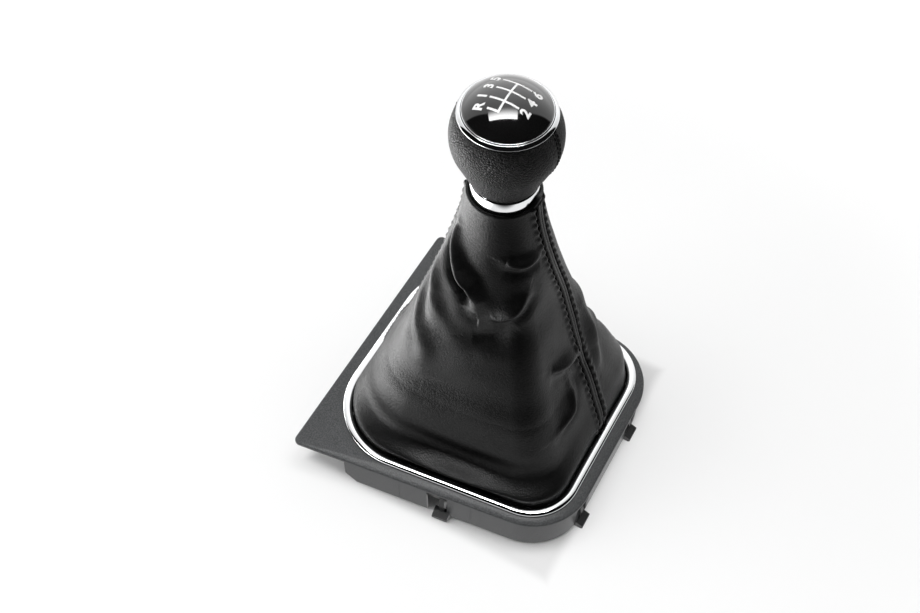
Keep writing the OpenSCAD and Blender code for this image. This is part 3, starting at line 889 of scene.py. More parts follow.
@dataclass
class TrimFrame:
    """The anthracite plate, its bright ring and the black gaiter frame under it."""

    sizes: Sizes
    under: float = 25 * MM
    land_z: float = 28.4 * MM
    land_w: float = 0.6 * MM
    mouth_w: float = 3.8 * MM
    skirt_z: float = 1.5 * MM
    skirt_inset: float = 1.5 * MM
    skirt_t: float = 1.6 * MM
    skirt_bevel: float = 0.4 * MM
    skirt_front_y: float = 50 * MM
    skirt_slant: float = 7 * MM
    edge_r: float = 1.1 * MM
    ring_edge_r: float = 1.5 * MM
    ring_crown: float = 0.2 * MM
    ring_low: float = 23 * MM
    ring_seat: float = 28.2 * MM
    ring_lip: float = 1.2 * MM
    foot_x: tuple[float, float] = (-35 * MM, 27 * MM)
    foot_y: float = -7.5 * MM
    foot_seat: float = 0.8 * MM
    window: tuple[float, float] = (-3.1 * MM, 8.9 * MM)
    window_top: float = 23 * MM
    notch_half_w: float = 4.8 * MM
    notch_top: float = 4.9 * MM
    groove_y: tuple[float, ...] = (17 * MM, -25 * MM)
    groove_w: float = 0.35 * MM
    groove_depth: float = 0.12 * MM
    groove_top: float = 24 * MM

    def build(self) -> None:
        """Builds the plate and the ring, and dresses the carried-over nodes."""
        self.satin_plate()
        self.bright_ring()
        for node, finish in (("gaiter_frame", Finish.BLACK), ("frame_staples", Finish.STEEL)):
            finish.on(node_object(node))
            log.info("dressed %s", node)

    def satin_plate(self) -> bpy.types.Object:
        """The crowned plate with a rounded edge, its skirt, windows and fine grooves.

        Returns:
            The plate.
        """
        s, r, low, bevel = self.sizes, self.edge_r, self.skirt_z, self.skirt_bevel
        ring, rim = s.ring.stations(28, 10), s.plate.stations(28, 10)
        outer = -self.skirt_inset
        inner = outer - self.skirt_t
        section = [(ring, -self.mouth_w, self.under), (ring, -self.mouth_w, self.land_z),
                   (ring, self.land_w, self.land_z)]
        section += [(rim, -r * (1 - math.cos(q)), s.plate_edge_z - r + r * math.sin(q))
                    for q in np.radians(np.linspace(80, 0, 7))]
        section += [(rim, out, z) for out, z in (
            (0, self.under), (outer, self.under), (outer, low + bevel), (outer - bevel, low),
            (inner, low), (inner, self.under))]
        loops = np.array([np.column_stack([points + normals * out, np.full(len(points), z)])
                          for (points, normals), out, z in section])
        plate = loft("satin_plate", loops)
        cut(plate, self.plate_cutters())
        self.add_webs(plate)
        Finish.PLATE.on(smooth(plate, 32))
        modify(plate, "WEIGHTED_NORMAL", keep_sharp=True)
        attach(plate, "frame")
        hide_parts("trim_plate")
        log.info("built %s", plate.name)
        return plate

    def plate_cutters(self) -> list[bpy.types.Object]:
        """Makes what is cut out of the plate.

        Returns:
            The cutters for the skirt's open front, its slanted corner, windows and grooves.
        """
        s, far, under = self.sizes, 90 * MM, self.under - 0.02 * MM
        front, slant, low = self.skirt_front_y, self.skirt_slant, -MM
        cutters = [box((-far, front, low), (far, far, under))]
        reach = slant / math.sqrt(2)
        corner = Matrix.Translation((0, front, self.skirt_z)) @ Matrix.Rotation(math.pi / 4, 4, "X")
        cutters.append(box((-far, -reach, -reach), (far, reach, reach), corner))
        left, right, half, through = *self.window, self.notch_half_w, 38 * MM
        for place in self.feet():
            cutters.append(box((0, left, low), (through, right, self.window_top), place))
            cutters.append(box((0, -half, low), (through, half, self.notch_top), place))
        for side in (-1, 1):
            for y in self.groove_y:
                x = s.plate.half_width(y, self.skirt_inset) - self.groove_depth
                cutters.append(box((0, 0, low), (MM, self.groove_w, self.groove_top),
                                   self.beside(side, x, y, s.plate.slant)))
        return cutters

    @staticmethod
    def beside(side: int, x: float, y: float, slant: float) -> Matrix:
        """A place on the left (-1) or right (1) side, turned along the side's line."""
        return (Matrix.Scale(side, 4, (1, 0, 0)) @ Matrix.Translation((x, y, 0))
                @ Matrix.Rotation(-slant, 4, "Z"))

    def feet(self) -> list[Matrix]:
        """Where the snap feet stand.

        Returns:
            Their places, with +X pointing out of the frame.
        """
        ring, seat = self.sizes.ring, self.foot_seat
        places = [
            Matrix.Translation((x, y, 0)) @ Matrix.Rotation(math.copysign(math.pi / 2, y), 4, "Z")
            for y in (ring.front_y - seat, seat - ring.rear_y) for x in self.foot_x
        ]
        x = ring.half_width(self.foot_y, seat)
        return places + [self.beside(side, x, self.foot_y, ring.slant) for side in (1, -1)]

    def add_webs(self, plate: bpy.types.Object) -> None:
        """Joins the two short webs at the skirt's front ends to the plate.

        Args:
            plate: The plate.
        """
        s, y, clearance = self.sizes, self.skirt_front_y, 0.3 * MM
        x0 = s.ring.half_width(y, self.foot_seat) + clearance
        x1 = s.plate.half_width(y - self.skirt_t, self.skirt_inset + self.skirt_t / 2)
        low, high = self.skirt_z + self.skirt_slant, self.under + 0.2 * MM
        webs = [box((side * x0 if side > 0 else -x1, y - self.skirt_t, low),
                    (side * x1 if side > 0 else -x0, y, high)) for side in (1, -1)]
        take(plate)
        for web in webs:
            web.select_set(True)
        bpy.ops.object.join()

    def bright_ring(self) -> bpy.types.Object:
        """The bright band with its two rounded edges, slightly crowned top and inner lip.

        Returns:
            The ring.
        """
        s = self.sizes
        r, top, inner = self.ring_edge_r, s.ring_top - self.ring_crown, -s.ring_w
        crown = [(inner * k, top + self.ring_crown * math.sin(math.pi * k))
                 for k in (0.32, 0.44, 0.56, 0.68)]
        band = arc(-r, top - r, r, 0, 74, 8) + crown + arc(inner + r, top - r, r, 106, 180, 8)
        lip = [(inner, self.ring_low), (inner + self.ring_lip, self.ring_low),
               (inner + self.ring_lip, self.ring_seat), (0.0, self.ring_seat)]
        ring = sweep("bright_ring", s.ring, band + lip, 32, 8)
        Finish.CHROME.on(smooth(ring))
        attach(ring, "frame")
        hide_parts("trim_ring")
        log.info("built %s", ring.name)
        return ring


@dataclass(frozen=True)
class Fold:
    """One soft fold of the gaiter: angles in degrees, heights as a share of the gaiter's height."""

    angle: float
    height: float
    depth: float
    width: float
    spread: float
    turn: float


@dataclass(frozen=True)
class Crease:
    """One sharper crease: its points (angle in degrees, share of the height), rise and width."""

    path: tuple[tuple[float, float], ...]
    rise: float
    width: float
    valley: float = 0.5


FOLDS = [
    Fold(186, 0.05, 1.3, 62, 0.035, 0), Fold(188, 0.15, -1.7, 56, 0.045, 0),
    Fold(150, 0.27, 0.5, 26, 0.05, 60), Fold(212, 0.30, 0.6, 40, 0.05, 0),
    Fold(170, 0.36, -0.4, 34, 0.04, 90), Fold(205, 0.58, -0.9, 34, 0.06, 200),
    Fold(162, 0.78, 1.2, 12, 0.07, -326), Fold(150, 0.80, -1.0, 9, 0.06, -300),
    Fold(141, 0.64, 0.7, 9, 0.08, -220), Fold(136, 0.52, 0.6, 9, 0.08, -190),
    Fold(265, 0.386, 0.6, 13, 0.03, -60), Fold(256, 0.255, 0.7, 13, 0.035, 60),
    Fold(236, 0.84, 0.5, 17, 0.02, 0), Fold(218, 0.69, 0.6, 12, 0.03, 120),
    Fold(296, 0.33, 0.7, 7, 0.08, 90), Fold(316, 0.20, 0.5, 9, 0.10, 60),
    Fold(-20, 0.10, 0.8, 44, 0.04, 40), Fold(4, 0.20, -0.7, 38, 0.05, -50),
    Fold(-30, 0.46, 0.8, 26, 0.04, -70), Fold(18, 0.52, -0.7, 24, 0.05, 40),
    Fold(24, 0.64, 0.8, 22, 0.05, -60), Fold(0, 0.78, 0.6, 30, 0.04, 40),
    Fold(40, 0.30, -0.6, 18, 0.06, 60), Fold(66, 0.36, 0.6, 14, 0.07, 50),
]

CREASES = [
    Crease(((132, 0.90), (140, 0.845), (157, 0.781), (175, 0.757), (184, 0.71), (186, 0.66)),
           2.1, 2.2, 1.0),
    Crease(((120, 0.78), (128, 0.70), (142, 0.66), (146, 0.60), (146, 0.52)), 0.6, 2.8),
    Crease(((118, 0.66), (126, 0.589), (140, 0.52), (151, 0.46), (155, 0.38)), 0.8, 2.8),
    Crease(((212, 0.85), (220, 0.846), (251, 0.835), (262, 0.83)), 0.8, 1.8, 0.7),
    Crease(((200, 0.65), (209, 0.656), (227, 0.708), (236, 0.74)), 0.9, 1.8, 0.7),
    Crease(((184, 0.551), (205, 0.57), (226, 0.625)), -0.8, 3.0, 0.3),
    Crease(((248, 0.42), (255, 0.403), (275, 0.369), (282, 0.36)), 0.9, 1.8, 0.6),
    Crease(((240, 0.235), (248, 0.241), (257, 0.245), (262, 0.286), (262, 0.33)), 1.0, 1.8, 0.6),
    Crease(((302, 0.46), (299, 0.367), (293, 0.267), (290, 0.22)), 0.9, 2.0),
    Crease(((60, 0.85), (40, 0.80), (15, 0.78), (5, 0.72)), 1.2, 1.9, 0.8),
    Crease(((-30, 0.62), (-10, 0.60), (15, 0.66)), 0.9, 2.2),
    Crease(((30, 0.42), (50, 0.38), (66, 0.36)), 0.8, 2.4),
    Crease(((-50, 0.30), (-30, 0.27), (-8, 0.30)), 0.9, 2.2),
]


@dataclass(frozen=True)
class Seam:
    """A sewn seam: two folded edges that meet, each with a row of coarse stitches beside it."""

    ridge: float = 0.8 * MM
    ridge_half_w: float = 2.1 * MM
    row: float = 2.9 * MM
    dip: float = 1.2 * MM
    dip_w: float = 0.65 * MM
    puff: float = 1.3 * MM
    reach: float = 7.5 * MM
    stitch_pull: float = 0.6
    stitch_puff: float = 0.5
    pitch: float = 5.4 * MM
    thread_r: float = 0.75 * MM
    stitch_l: float = 5.1 * MM

    def rise(self, d: np.ndarray, along: np.ndarray) -> np.ndarray:
        """Rise of the leather beside the seam.

        Args:
            d: Distance from the seam's middle.
            along: Distance along the seam.

        Returns:
            The rise over the plain leather, in metres.
        """
        x = np.clip(d / self.ridge_half_w, 0, 1)
        ridge = self.ridge * np.sqrt(np.clip(1 - (2 * x - 1) ** 4, 0, 1)) * (x < 1)
        wave = 0.5 + 0.5 * np.cos(2 * np.pi * along / self.pitch)
        sunk = np.exp(-(((d - self.row) / self.dip_w) ** 2))
        dip = -self.dip * (1 + self.stitch_pull * wave) * sunk
        out = np.clip((d - self.row) / (self.reach - self.row), 0, 1)
        puff = self.puff * (1 - self.stitch_puff * wave) * np.sin(np.pi * out**0.6) ** 2
        return ridge + dip + puff


@dataclass
class Gaiter:
    """The sewn leather gaiter: two panels, each split at mid height into a lower and an upper half.
    """

    sizes: Sizes
    seam: Seam = Seam()
    thickness: float = 1.2 * MM
    fold_depth: float = 3.0 * MM
    crease_rise: float = 2.1 * MM
    crease_width: float = 1.5 * MM
    front_lean: float = 5.0
    swell: float = 3 * MM
    swell_top: float = 0.3
    flare: float = 1.3
    rows: int = 124
    columns: int = 170
    hem_r: float = 1.0 * MM
    hem_inset: float = 0.9 * MM
    hem_sink: float = 0.2 * MM
    hem_peak: float = 2.4 * MM
    hem_peak_width: float = 14.0
    roll_drop: float = 12 * MM
    roll_angle: float = 192.0
    roll_width: float = 56.0
    roll_low: float = 0.04
    roll_mid: float = 0.13
    roll_high: float = 0.43
    lean_at: tuple[float, ...] = (0.0, 0.2, 0.4, 0.62, 0.8, 0.92, 1.0)
    lean: tuple[float, ...] = (5.5, 8.5, 15.0, 19.0, 10.0, 2.0, 0.0)

    def build(self) -> None:
        """Builds the four panel halves, the stitches and the hem."""
        for side, rear_first in (("left", False), ("right", True)):
            self.panel(side, rear_first)
        self.stitches()
        self.hem()

    @property
    def mid_z(self) -> float:
        """Height of the split between the lower and the upper halves."""
        return float(self.height(np.array(0.5)))

    def seam_angle(self, rear: bool, u: np.ndarray) -> np.ndarray:
        """Angle of a seam. Both lean a little to one side on their way down.

        Args:
            rear: Whether it is the rear seam.
            u: Shares of the height.

        Returns:
            The angles, in radians.
        """
        if not rear:
            return math.pi / 2 + math.radians(self.front_lean) * np.sin(math.pi * np.clip(u, 0, 1))
        fine = np.linspace(-0.2, 1.2, 561)
        window = np.hanning(61)
        eased = np.convolve(np.interp(fine, self.lean_at, self.lean), window / window.sum(), "same")
        return np.radians(-90 + np.interp(u, fine, eased))

    def centre_y(self, u: np.ndarray) -> np.ndarray:
        """Place of the gaiter's middle along the car, at a share of its height."""
        return self.sizes.lever_y * (1 - (1 - u) ** self.flare)

    def plain_radius(self, a: np.ndarray, u: np.ndarray) -> np.ndarray:
        """Outer radius of the leather without folds.

        Args:
            a: Angles, in radians.
            u: Shares of the height.

        Returns:
            The radii, in metres.
        """
        s = self.sizes
        spread = (1 - u) ** self.flare
        mouth = s.ring.reach(s.leather_inset, a, self.centre_y(u))
        base = spread * mouth + (1 - spread) * s.gaiter_top_r
        return base + self.swell * np.sin(np.pi * np.minimum(1, u / self.swell_top))

    def radius(self, a: np.ndarray, u: np.ndarray) -> np.ndarray:
        """Outer radius of the leather without its seams.

        Args:
            a: Angles, in radians.
            u: Shares of the height.

        Returns:
            The radii, in metres.
        """
        base = self.plain_radius(a, u)
        folds = np.zeros_like(base)
        for f in FOLDS:
            d = (np.degrees(a) - f.angle + 180) % 360 - 180
            folds += f.depth * np.exp(-(((d - f.turn * (u - f.height)) / f.width) ** 2)
                                      - ((u - f.height) / f.spread) ** 2)
        folds *= self.fold_depth
        for crease in CREASES:
            folds += self.crease(crease, a, u, base)
        return base + np.clip((1 - u) * 12, 0, 1) * np.clip(u * 20, 0, 1) * folds

    def crease(self, crease: Crease, a: np.ndarray, u: np.ndarray, r: np.ndarray) -> np.ndarray:
        """Rise of one crease over the leather.

        Args:
            crease: The crease.
            a: Angles, in radians.
            u: Shares of the height.
            r: Radii of the leather there.

        Returns:
            The rise, in metres.
        """
        tall = self.sizes.gaiter_top_z - self.sizes.mouth_z
        best, side, share = np.full(a.shape, np.inf), np.zeros(a.shape), np.zeros(a.shape)
        steps = len(crease.path) - 1
        for k, ((a0, u0), (a1, u1)) in enumerate(zip(crease.path, crease.path[1:])):
            px = np.radians((np.degrees(a) - a0 + 180) % 360 - 180) * r
            pz = (u - u0) * tall
            vx, vz = math.radians(a1 - a0) * r, (u1 - u0) * tall
            t = np.clip((px * vx + pz * vz) / (vx * vx + vz * vz), 0, 1)
            d = np.hypot(px - t * vx, pz - t * vz)
            nearer = d < best
            best = np.where(nearer, d, best)
            side = np.where(nearer, np.sign(px * vz - pz * vx), side)
            share = np.where(nearer, (k + t) / steps, share)
        w = self.crease_width * crease.width
        signed = best * side
        taper = np.sin(np.pi * np.clip(share, 0.02, 0.98)) ** 0.6
        ridge = np.exp(-((signed / w) ** 2))
        valley = np.exp(-(((signed - 2 * w) / (1.3 * w)) ** 2))
        return self.crease_rise * crease.rise * taper * (ridge - crease.valley * valley)

    def height(self, u: np.ndarray) -> np.ndarray:
        """Height above the floor at a share of the gaiter's height."""
        return self.sizes.mouth_z + (self.sizes.gaiter_top_z - self.sizes.mouth_z) * u

    def place(self, a: np.ndarray, u: np.ndarray, out: np.ndarray) -> np.ndarray:
        """Points on the leather.

        Args:
            a: Angles, in radians.
            u: Shares of the height.
            out: How far they are moved out of it.

        Returns:
            Array of the points, with xyz last.
        """
        r = self.radius(a, u) + out
        z = self.height(u) - self.roll_drop * self.roll(a, u)
        return np.stack([r * np.cos(a), r * np.sin(a) + self.centre_y(u), z], -1)

    def roll(self, a: np.ndarray, u: np.ndarray) -> np.ndarray:
        """How far the leather sags on to the roll above the ring.

        Args:
            a: Angles, in radians.
            u: Shares of the height.

        Returns:
            The shares of the whole sag, from 0 to 1.
        """
        side = (np.degrees(a) - self.roll_angle + 180) % 360 - 180
        rise = np.clip((u - self.roll_low) / (self.roll_mid - self.roll_low), 0, 1)
        fall = np.clip((u - self.roll_mid) / (self.roll_high - self.roll_mid), 0, 1)
        rise = 0.65 * rise + 0.35 * rise**2 * (3 - 2 * rise)
        return np.exp(-((side / self.roll_width) ** 2)) * rise * (1 - fall**2 * (3 - 2 * fall))

    def seam_run(self, rear: bool, u: np.ndarray) -> np.ndarray:
        """Distance along a seam.

        Args:
            rear: Whether it is the rear seam.
            u: Shares of the height.

        Returns:
            The distances, in metres.
        """
        fine = np.linspace(0, 1, 600)
        p = self.place(self.seam_angle(rear, fine), fine, np.zeros_like(fine))
        run = np.concatenate([[0], np.cumsum(np.linalg.norm(np.diff(p, axis=0), axis=1))])
        return np.interp(u, fine, run)

    def panel_grid(self, rear_first: bool) -> np.ndarray:
        """Points of one whole panel.

        Args:
            rear_first: Whether the panel starts at the rear seam.

        Returns:
            Array of (row, column, xyz), from the ring up and from seam to seam.
        """
        seam = self.seam
        near = np.concatenate([np.linspace(0.04, 1, 10) * seam.ridge_half_w,
                               np.linspace(seam.ridge_half_w, seam.reach, 13)[1:]])
        u = np.linspace(0, 1, 2 * self.rows - 1)
        first, last = self.seam_angle(rear_first, u), self.seam_angle(not rear_first, u)
        last = np.where(last < first, last + 2 * np.pi, last)
        r0, r1 = self.plain_radius(first, u), self.plain_radius(last, u)
        run0, run1 = self.seam_run(rear_first, u), self.seam_run(not rear_first, u)
        fade = np.clip(u * 30, 0, 1)
        angles = [first + np.arcsin(d / r0) for d in near]
        rises = [seam.rise(np.full_like(u, d), run0) * fade for d in near]
        a0, a1 = angles[-1], last - np.arcsin(near[-1] / r1)
        for k in range(1, self.columns):
            angles.append(a0 + (a1 - a0) * k / self.columns)
            rises.append(np.zeros_like(u))
        for d in near[::-1]:
            angles.append(last - np.arcsin(d / r1))
            rises.append(seam.rise(np.full_like(u, d), run1) * fade)
        a = np.array(angles).T
        return self.place(a, np.repeat(u[:, None], a.shape[1], 1), np.array(rises).T)

    def panel(self, side: str, rear_first: bool) -> None:
        """Builds one panel as a lower and an upper half whose shading meets without a line.

        Args:
            side: left or right.
            rear_first: Whether the panel starts at the rear seam.
        """
        s = self.sizes
        grid = self.panel_grid(rear_first)
        below = grid[:1].copy()
        below[..., 2] = s.hem_z
        grid = np.concatenate([below, grid])
        normal = np.cross(np.gradient(grid, axis=1), np.gradient(grid, axis=0))
        normal /= np.linalg.norm(normal, axis=2, keepdims=True)
        for part, rows in (("lower", slice(0, self.rows + 1)), ("upper", slice(self.rows, None))):
            obj = self.skin(f"gaiter_{part}_{side}", grid[rows], normal[rows])
            Finish.LEATHER.on(obj)
            self.bend(obj, part)
            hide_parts(f"gaiter_{side}")
            log.info("built %s", obj.name)

    def skin(self, name: str, grid: np.ndarray, normal: np.ndarray) -> bpy.types.Object:
        """Leather with its thickness.

        Args:
            name: Name of the piece.
            grid: Its outer points, as (row, column, xyz).
            normal: Their normals, in the same order.

        Returns:
            The piece, shaded by these normals.
        """
        m, n = grid.shape[:2]
        back = grid - self.thickness * normal
        points = np.concatenate([grid.reshape(-1, 3), back.reshape(-1, 3)])
        k, j = np.meshgrid(np.arange(m - 1), np.arange(n - 1), indexing="ij")
        o = (k * n + j).ravel()
        inner = o + m * n
        row, col = np.arange(n - 1), np.arange(m - 1) * n
        top, low = (m - 1) * n, m * n
        faces = np.concatenate([
            np.stack([o, o + 1, o + n + 1, o + n], 1),
            np.stack([inner, inner + n, inner + n + 1, inner + 1], 1),
            np.stack([row, row + low, row + low + 1, row + 1], 1),
            np.stack([row + top, row + top + 1, row + top + low + 1, row + top + low], 1),
            np.stack([col, col + n, col + n + low, col + low], 1),
            np.stack([col + n - 1, col + n - 1 + low, col + 2 * n - 1 + low, col + 2 * n - 1], 1),
        ])
        obj = from_points(name, points, faces.tolist())
        obj.data.shade_smooth()
        flat = np.concatenate([normal.reshape(-1, 3), -normal.reshape(-1, 3)])
        obj.data.normals_split_custom_set_from_vertices(flat.tolist())
        return obj

    def bend(self, obj: bpy.types.Object, part: str) -> None:
        """Bakes a piece of the gaiter's placement into its mesh; the piece is not made to bend with
        a joint.

        Args:
            obj: The piece.
            part: lower or upper.
        """
        if part == "lower":
            self.mid_z
            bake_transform(obj)
        else:
            self.mid_z
            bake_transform(obj)

    def stitches(self) -> None:
        """Two rows of coarse stitches along each seam, split like the panels."""
        seam, lift = self.seam, 0.15 * MM
        u = np.linspace(0, 1, 1600)
        for name, rear in (("rear", True), ("front", False)):
            run, mid = self.seam_run(rear, u), self.seam_angle(rear, u)
            across = np.arcsin(seam.row / self.plain_radius(mid, u))
            for part, low, high in (("lower", 0.01, 0.5), ("upper", 0.5, 0.99)):
                spots = []
                for side in (-1, 1):
                    p = self.place(mid + side * across, u, np.full_like(u, lift))
                    for d in np.arange(seam.pitch / 2, run[-1], seam.pitch):
                        k = int(np.searchsorted(run, d))
                        if low <= u[min(k, len(u) - 1)] < high:
                            spots.append((p[k], p[min(k + 4, len(p) - 1)] - p[k - 4]))
                obj = stitch_run(f"gaiter_stitches_{name}_{part}", spots,
                                 seam.stitch_l, seam.thread_r)
                Finish.THREAD.on(smooth(obj, 60))
                self.bend(obj, part)
                log.info("built %s", obj.name)

    def hem(self) -> bpy.types.Object:
        """The rolled hem at the gaiter's top, which stands up a little at the two seams.

        Returns:
            The hem.
        """
        s = self.sizes
        a = np.linspace(0, 2 * np.pi, 144, endpoint=False)
        peak = sum(np.exp(-(((np.degrees(a) - mid + 180) % 360 - 180) / self.hem_peak_width) ** 2)
                   for mid in (90, -90))
        middle_r, middle_z = s.gaiter_top_r - self.hem_inset, s.gaiter_top_z - self.hem_sink
        loops = []
        for q in np.linspace(0, 2 * np.pi, 12, endpoint=False):
            up = math.sin(q)
            r = middle_r + self.hem_r * (1 + 0.2 * peak) * math.cos(q)
            z = middle_z + self.hem_peak * peak * (0.5 + 0.5 * up) + self.hem_r * 1.3 * up
            loops.append(np.column_stack([r * np.cos(a), r * np.sin(a) + s.lever_y, z]))
        obj = Finish.LEATHER.on(smooth(loft("gaiter_hem", np.array(loops)), 80))
        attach(obj, "knob")
        log.info("built %s", obj.name)
        return obj


def stitch_run(name: str, spots: list[tuple[np.ndarray, np.ndarray]], length: float,
               radius: float) -> bpy.types.Object:
    """Copies one stitch to every spot, as one piece.

    Args:
        name: Name of the piece.
        spots: Middle and direction of each stitch.
        length: Length of a stitch.
        radius: Radius of the thread.

    Returns:
        The piece.
    """
    deselect()
    bpy.ops.mesh.primitive_uv_sphere_add(segments=8, ring_count=6, radius=1.0)
    seed = bpy.context.object
    bm = to_edit(seed)
    for v in bm.verts:
        v.co.z = math.copysign(abs(v.co.z) ** 0.6, v.co.z)
    out_of_edit(seed)
    base = np.array([v.co for v in seed.data.vertices]) * np.array([radius, radius, length / 2])
    faces = [list(p.vertices) for p in seed.data.polygons]
    points, polys = [], []
    for middle, along in spots:
        turn_to = np.array(Vector(along).to_track_quat("Z", "Y").to_matrix())
        polys += [[i + len(points) * len(base) for i in f] for f in faces]
        points.append(base @ turn_to.T + middle)
    bpy.data.objects.remove(seed)
    return from_points(name, np.concatenate(points), polys)


@dataclass
class Knob:
    """The leather ball with its chrome rings, gloss cap and shift pattern."""

    sizes: Sizes
    leather_t: float = 1.4 * MM
    neck_bevel: tuple[float, float] = (0.4 * MM, 0.5 * MM)
    groove_r: float = 0.38 * MM
    seams: tuple[float, float] = (-90.0, 90.0)
    seam_top: float = 33.0
    seam_low: float = -52.0
    stitch_row: float = 1.1 * MM
    stitch_l: float = 2.0 * MM
    thread_r: float = 0.3 * MM
    collar_edge_r: float = 0.8 * MM
    collar_inner_r: float = 9.1 * MM
    band_r: float = 21.1 * MM
    band_edge_r: float = 0.6 * MM
    band_gap: float = 0.7 * MM
    band_drop: float = 1.4 * MM
    bezel_w: float = 0.4 * MM
    bezel_gap: float = 0.05 * MM
    bezel_drop: tuple[float, float] = (1.9 * MM, 0.9 * MM)
    cap_skirt: float = 1.8 * MM
    gate_x: tuple[float, ...] = (-9.5 * MM, -4.4 * MM, 1.4 * MM, 7.3 * MM)
    gate_y: float = 6.3 * MM
    cross_y: float = -0.4 * MM
    reverse_short: float = 1.5 * MM
    line_w: float = 0.9 * MM
    print_rise: float = 0.03 * MM
    print_t: float = 0.05 * MM
    figure_h: float = 4.0 * MM
    figure_bold: float = 0.22 * MM
    figure_y: tuple[float, ...] = (8.6 * MM, 9.6 * MM, -10.3 * MM, -10.0 * MM)

    def build(self) -> None:
        """Builds every piece of the knob and dresses the carried-over nodes."""
        self.leather()
        self.ball_stitches()
        self.collar()
        self.band()
        self.bezel()
        self.cap()
        self.shift_lines()
        self.figures()
        for node, finish in (("lever_sleeve", Finish.STEEL), ("sleeve_clamp", Finish.STEEL),
                             ("gaiter_clip_ring", Finish.BLACK), ("gaiter_tie", Finish.BLACK),
                             ("knob_core", Finish.BLACK), ("cap_seat", Finish.BLACK)):
            finish.on(node_object(node))
            log.info("dressed %s", node)

    def mount(self, obj: bpy.types.Object, finish: Finish, *nodes: str,
              angle: float = 40) -> bpy.types.Object:
        """Finishes a piece of the knob and lets it ride on the knob's body.

        Args:
            obj: The piece.
            finish: Its finish.
            *nodes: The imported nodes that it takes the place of.
            angle: The sharpest edge that stays smooth, in degrees.

        Returns:
            The same piece.
        """
        finish.on(smooth(obj, angle))
        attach(obj, "knob")
        if nodes:
            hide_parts(*nodes)
        log.info("built %s", obj.name)
        return obj

    def leather(self) -> bpy.types.Object:
        """The leather skin: a ball that tapers to the neck, with a rolled lower edge.

        Returns:
            The skin.
        """
        s = self.sizes
        drop = s.ball_z - s.neck_z
        reach = math.hypot(s.neck_r, drop)
        taper = math.degrees(math.acos(s.ball_r / reach) - math.atan2(drop, s.neck_r))
        top = math.degrees(math.asin((s.band_z - s.ball_z) / s.ball_r))
        outer = arc(0, s.ball_z, s.ball_r, taper, top, 40)
        t, (bevel_in, bevel_up) = self.leather_t, self.neck_bevel
        neck = [(s.neck_r - t, s.neck_z), (s.neck_r - bevel_in, s.neck_z),
                (s.neck_r, s.neck_z + bevel_up)]
        inner = arc(0, s.ball_z, s.ball_r - t, top, taper, 12)
        ball = turn("ball_leather", neck + outer + inner, s.lever_y, 160)
        cut(ball, [self.groove(angle) for angle in self.seams])
        return self.mount(ball, Finish.BALL, "knob_leather")

    def meridian_points(self, shift: float, angle: float, steps: int) -> np.ndarray:
        """Points down the ball beside its seam, from the bright ring to the taper.

        Args:
            shift: Distance to the side of the seam.
            angle: Direction of the seam from the axis, in degrees.
            steps: Number of steps.

        Returns:
            Array of (point, xyz).
        """
        s = self.sizes
        up = np.radians(np.linspace(self.seam_top, self.seam_low, steps + 1))
        along = math.radians(angle)
        out = np.sqrt(np.maximum((s.ball_r * np.cos(up)) ** 2 - shift**2, 0))
        return np.stack([out * math.cos(along) - shift * math.sin(along),
                         out * math.sin(along) + shift * math.cos(along) + s.lever_y,
                         s.ball_z + s.ball_r * np.sin(up)], 1)

    def groove(self, angle: float) -> bpy.types.Object:
        """A thin closed tube down one of the ball's seams, which cuts its groove.

        Args:
            angle: Direction of the seam from the axis, in degrees.

        Returns:
            The tube.
        """
        p = self.meridian_points(0.0, angle, 40)
        centre = np.array([0, self.sizes.lever_y, self.sizes.ball_z])
        out = (p - centre) / np.linalg.norm(p - centre, axis=1, keepdims=True)
        side = np.array([-math.sin(math.radians(angle)), math.cos(math.radians(angle)), 0])
        loops = np.array([p + self.groove_r * (math.cos(q) * out + math.sin(q) * side)
                          for q in np.linspace(0, 2 * math.pi, 10, endpoint=False)])
        tube = loft("groove", loops.transpose(1, 0, 2), closed=False)
        bm = to_edit(tube)
        ends = [e for e in bm.edges if e.is_boundary]
        high = [e for e in ends if e.verts[0].co.z > centre[2]]
        bmesh.ops.contextual_create(bm, geom=high)
        bmesh.ops.contextual_create(bm, geom=[e for e in bm.edges if e.is_boundary])
        bmesh.update_edit_mesh(tube.data)
        bpy.ops.mesh.select_all(action="SELECT")
        bpy.ops.mesh.normals_make_consistent(inside=False)
        return out_of_edit(tube)

    def ball_stitches(self) -> bpy.types.Object:
        """Small stitches on both sides of the ball's two seams.

        Returns:
            The stitches, as one piece.
        """
        spots = []
        for angle in self.seams:
            for shift in (-self.stitch_row, self.stitch_row):
                p = self.meridian_points(shift, angle, 88)
                spots += [(p[k], p[k + 1] - p[k - 1]) for k in range(3, 86, 6)]
        stitches = stitch_run("ball_stitches", spots, self.stitch_l, self.thread_r)
        return self.mount(stitches, Finish.THREAD, angle=60)

    def collar(self) -> bpy.types.Object:
        """The bright neck collar with rounded edges.

        Returns:
            The collar.
        """
        s, edge = self.sizes, self.collar_edge_r
        low, high, r = s.collar_z, s.collar_z + s.collar_h, s.collar_r - edge
        outer = arc(r, low + edge, edge, -90, 0, 8) + arc(r, high - edge, edge, 0, 90, 8)
        profile = [(self.collar_inner_r, low)] + outer + [(self.collar_inner_r, high)]
        return self.mount(turn("bright_collar", profile, s.lever_y), Finish.CHROME, "neck_collar")

    def band(self) -> bpy.types.Object:
        """The wide sloped bright ring between the leather and the cap.

        Returns:
            The band.
        """
        s, r, top_r = self.sizes, self.band_edge_r, 0.3 * MM
        inner = s.cap_r + self.band_gap
        profile = [(inner, s.band_z)] + arc(self.band_r, s.band_z + r, r, -90, 25, 8)
        profile += arc(inner + top_r, s.rim_z - self.band_drop, top_r, 60, 180, 6)
        return self.mount(turn("bright_band", profile, s.lever_y), Finish.CHROME, "knob_band")

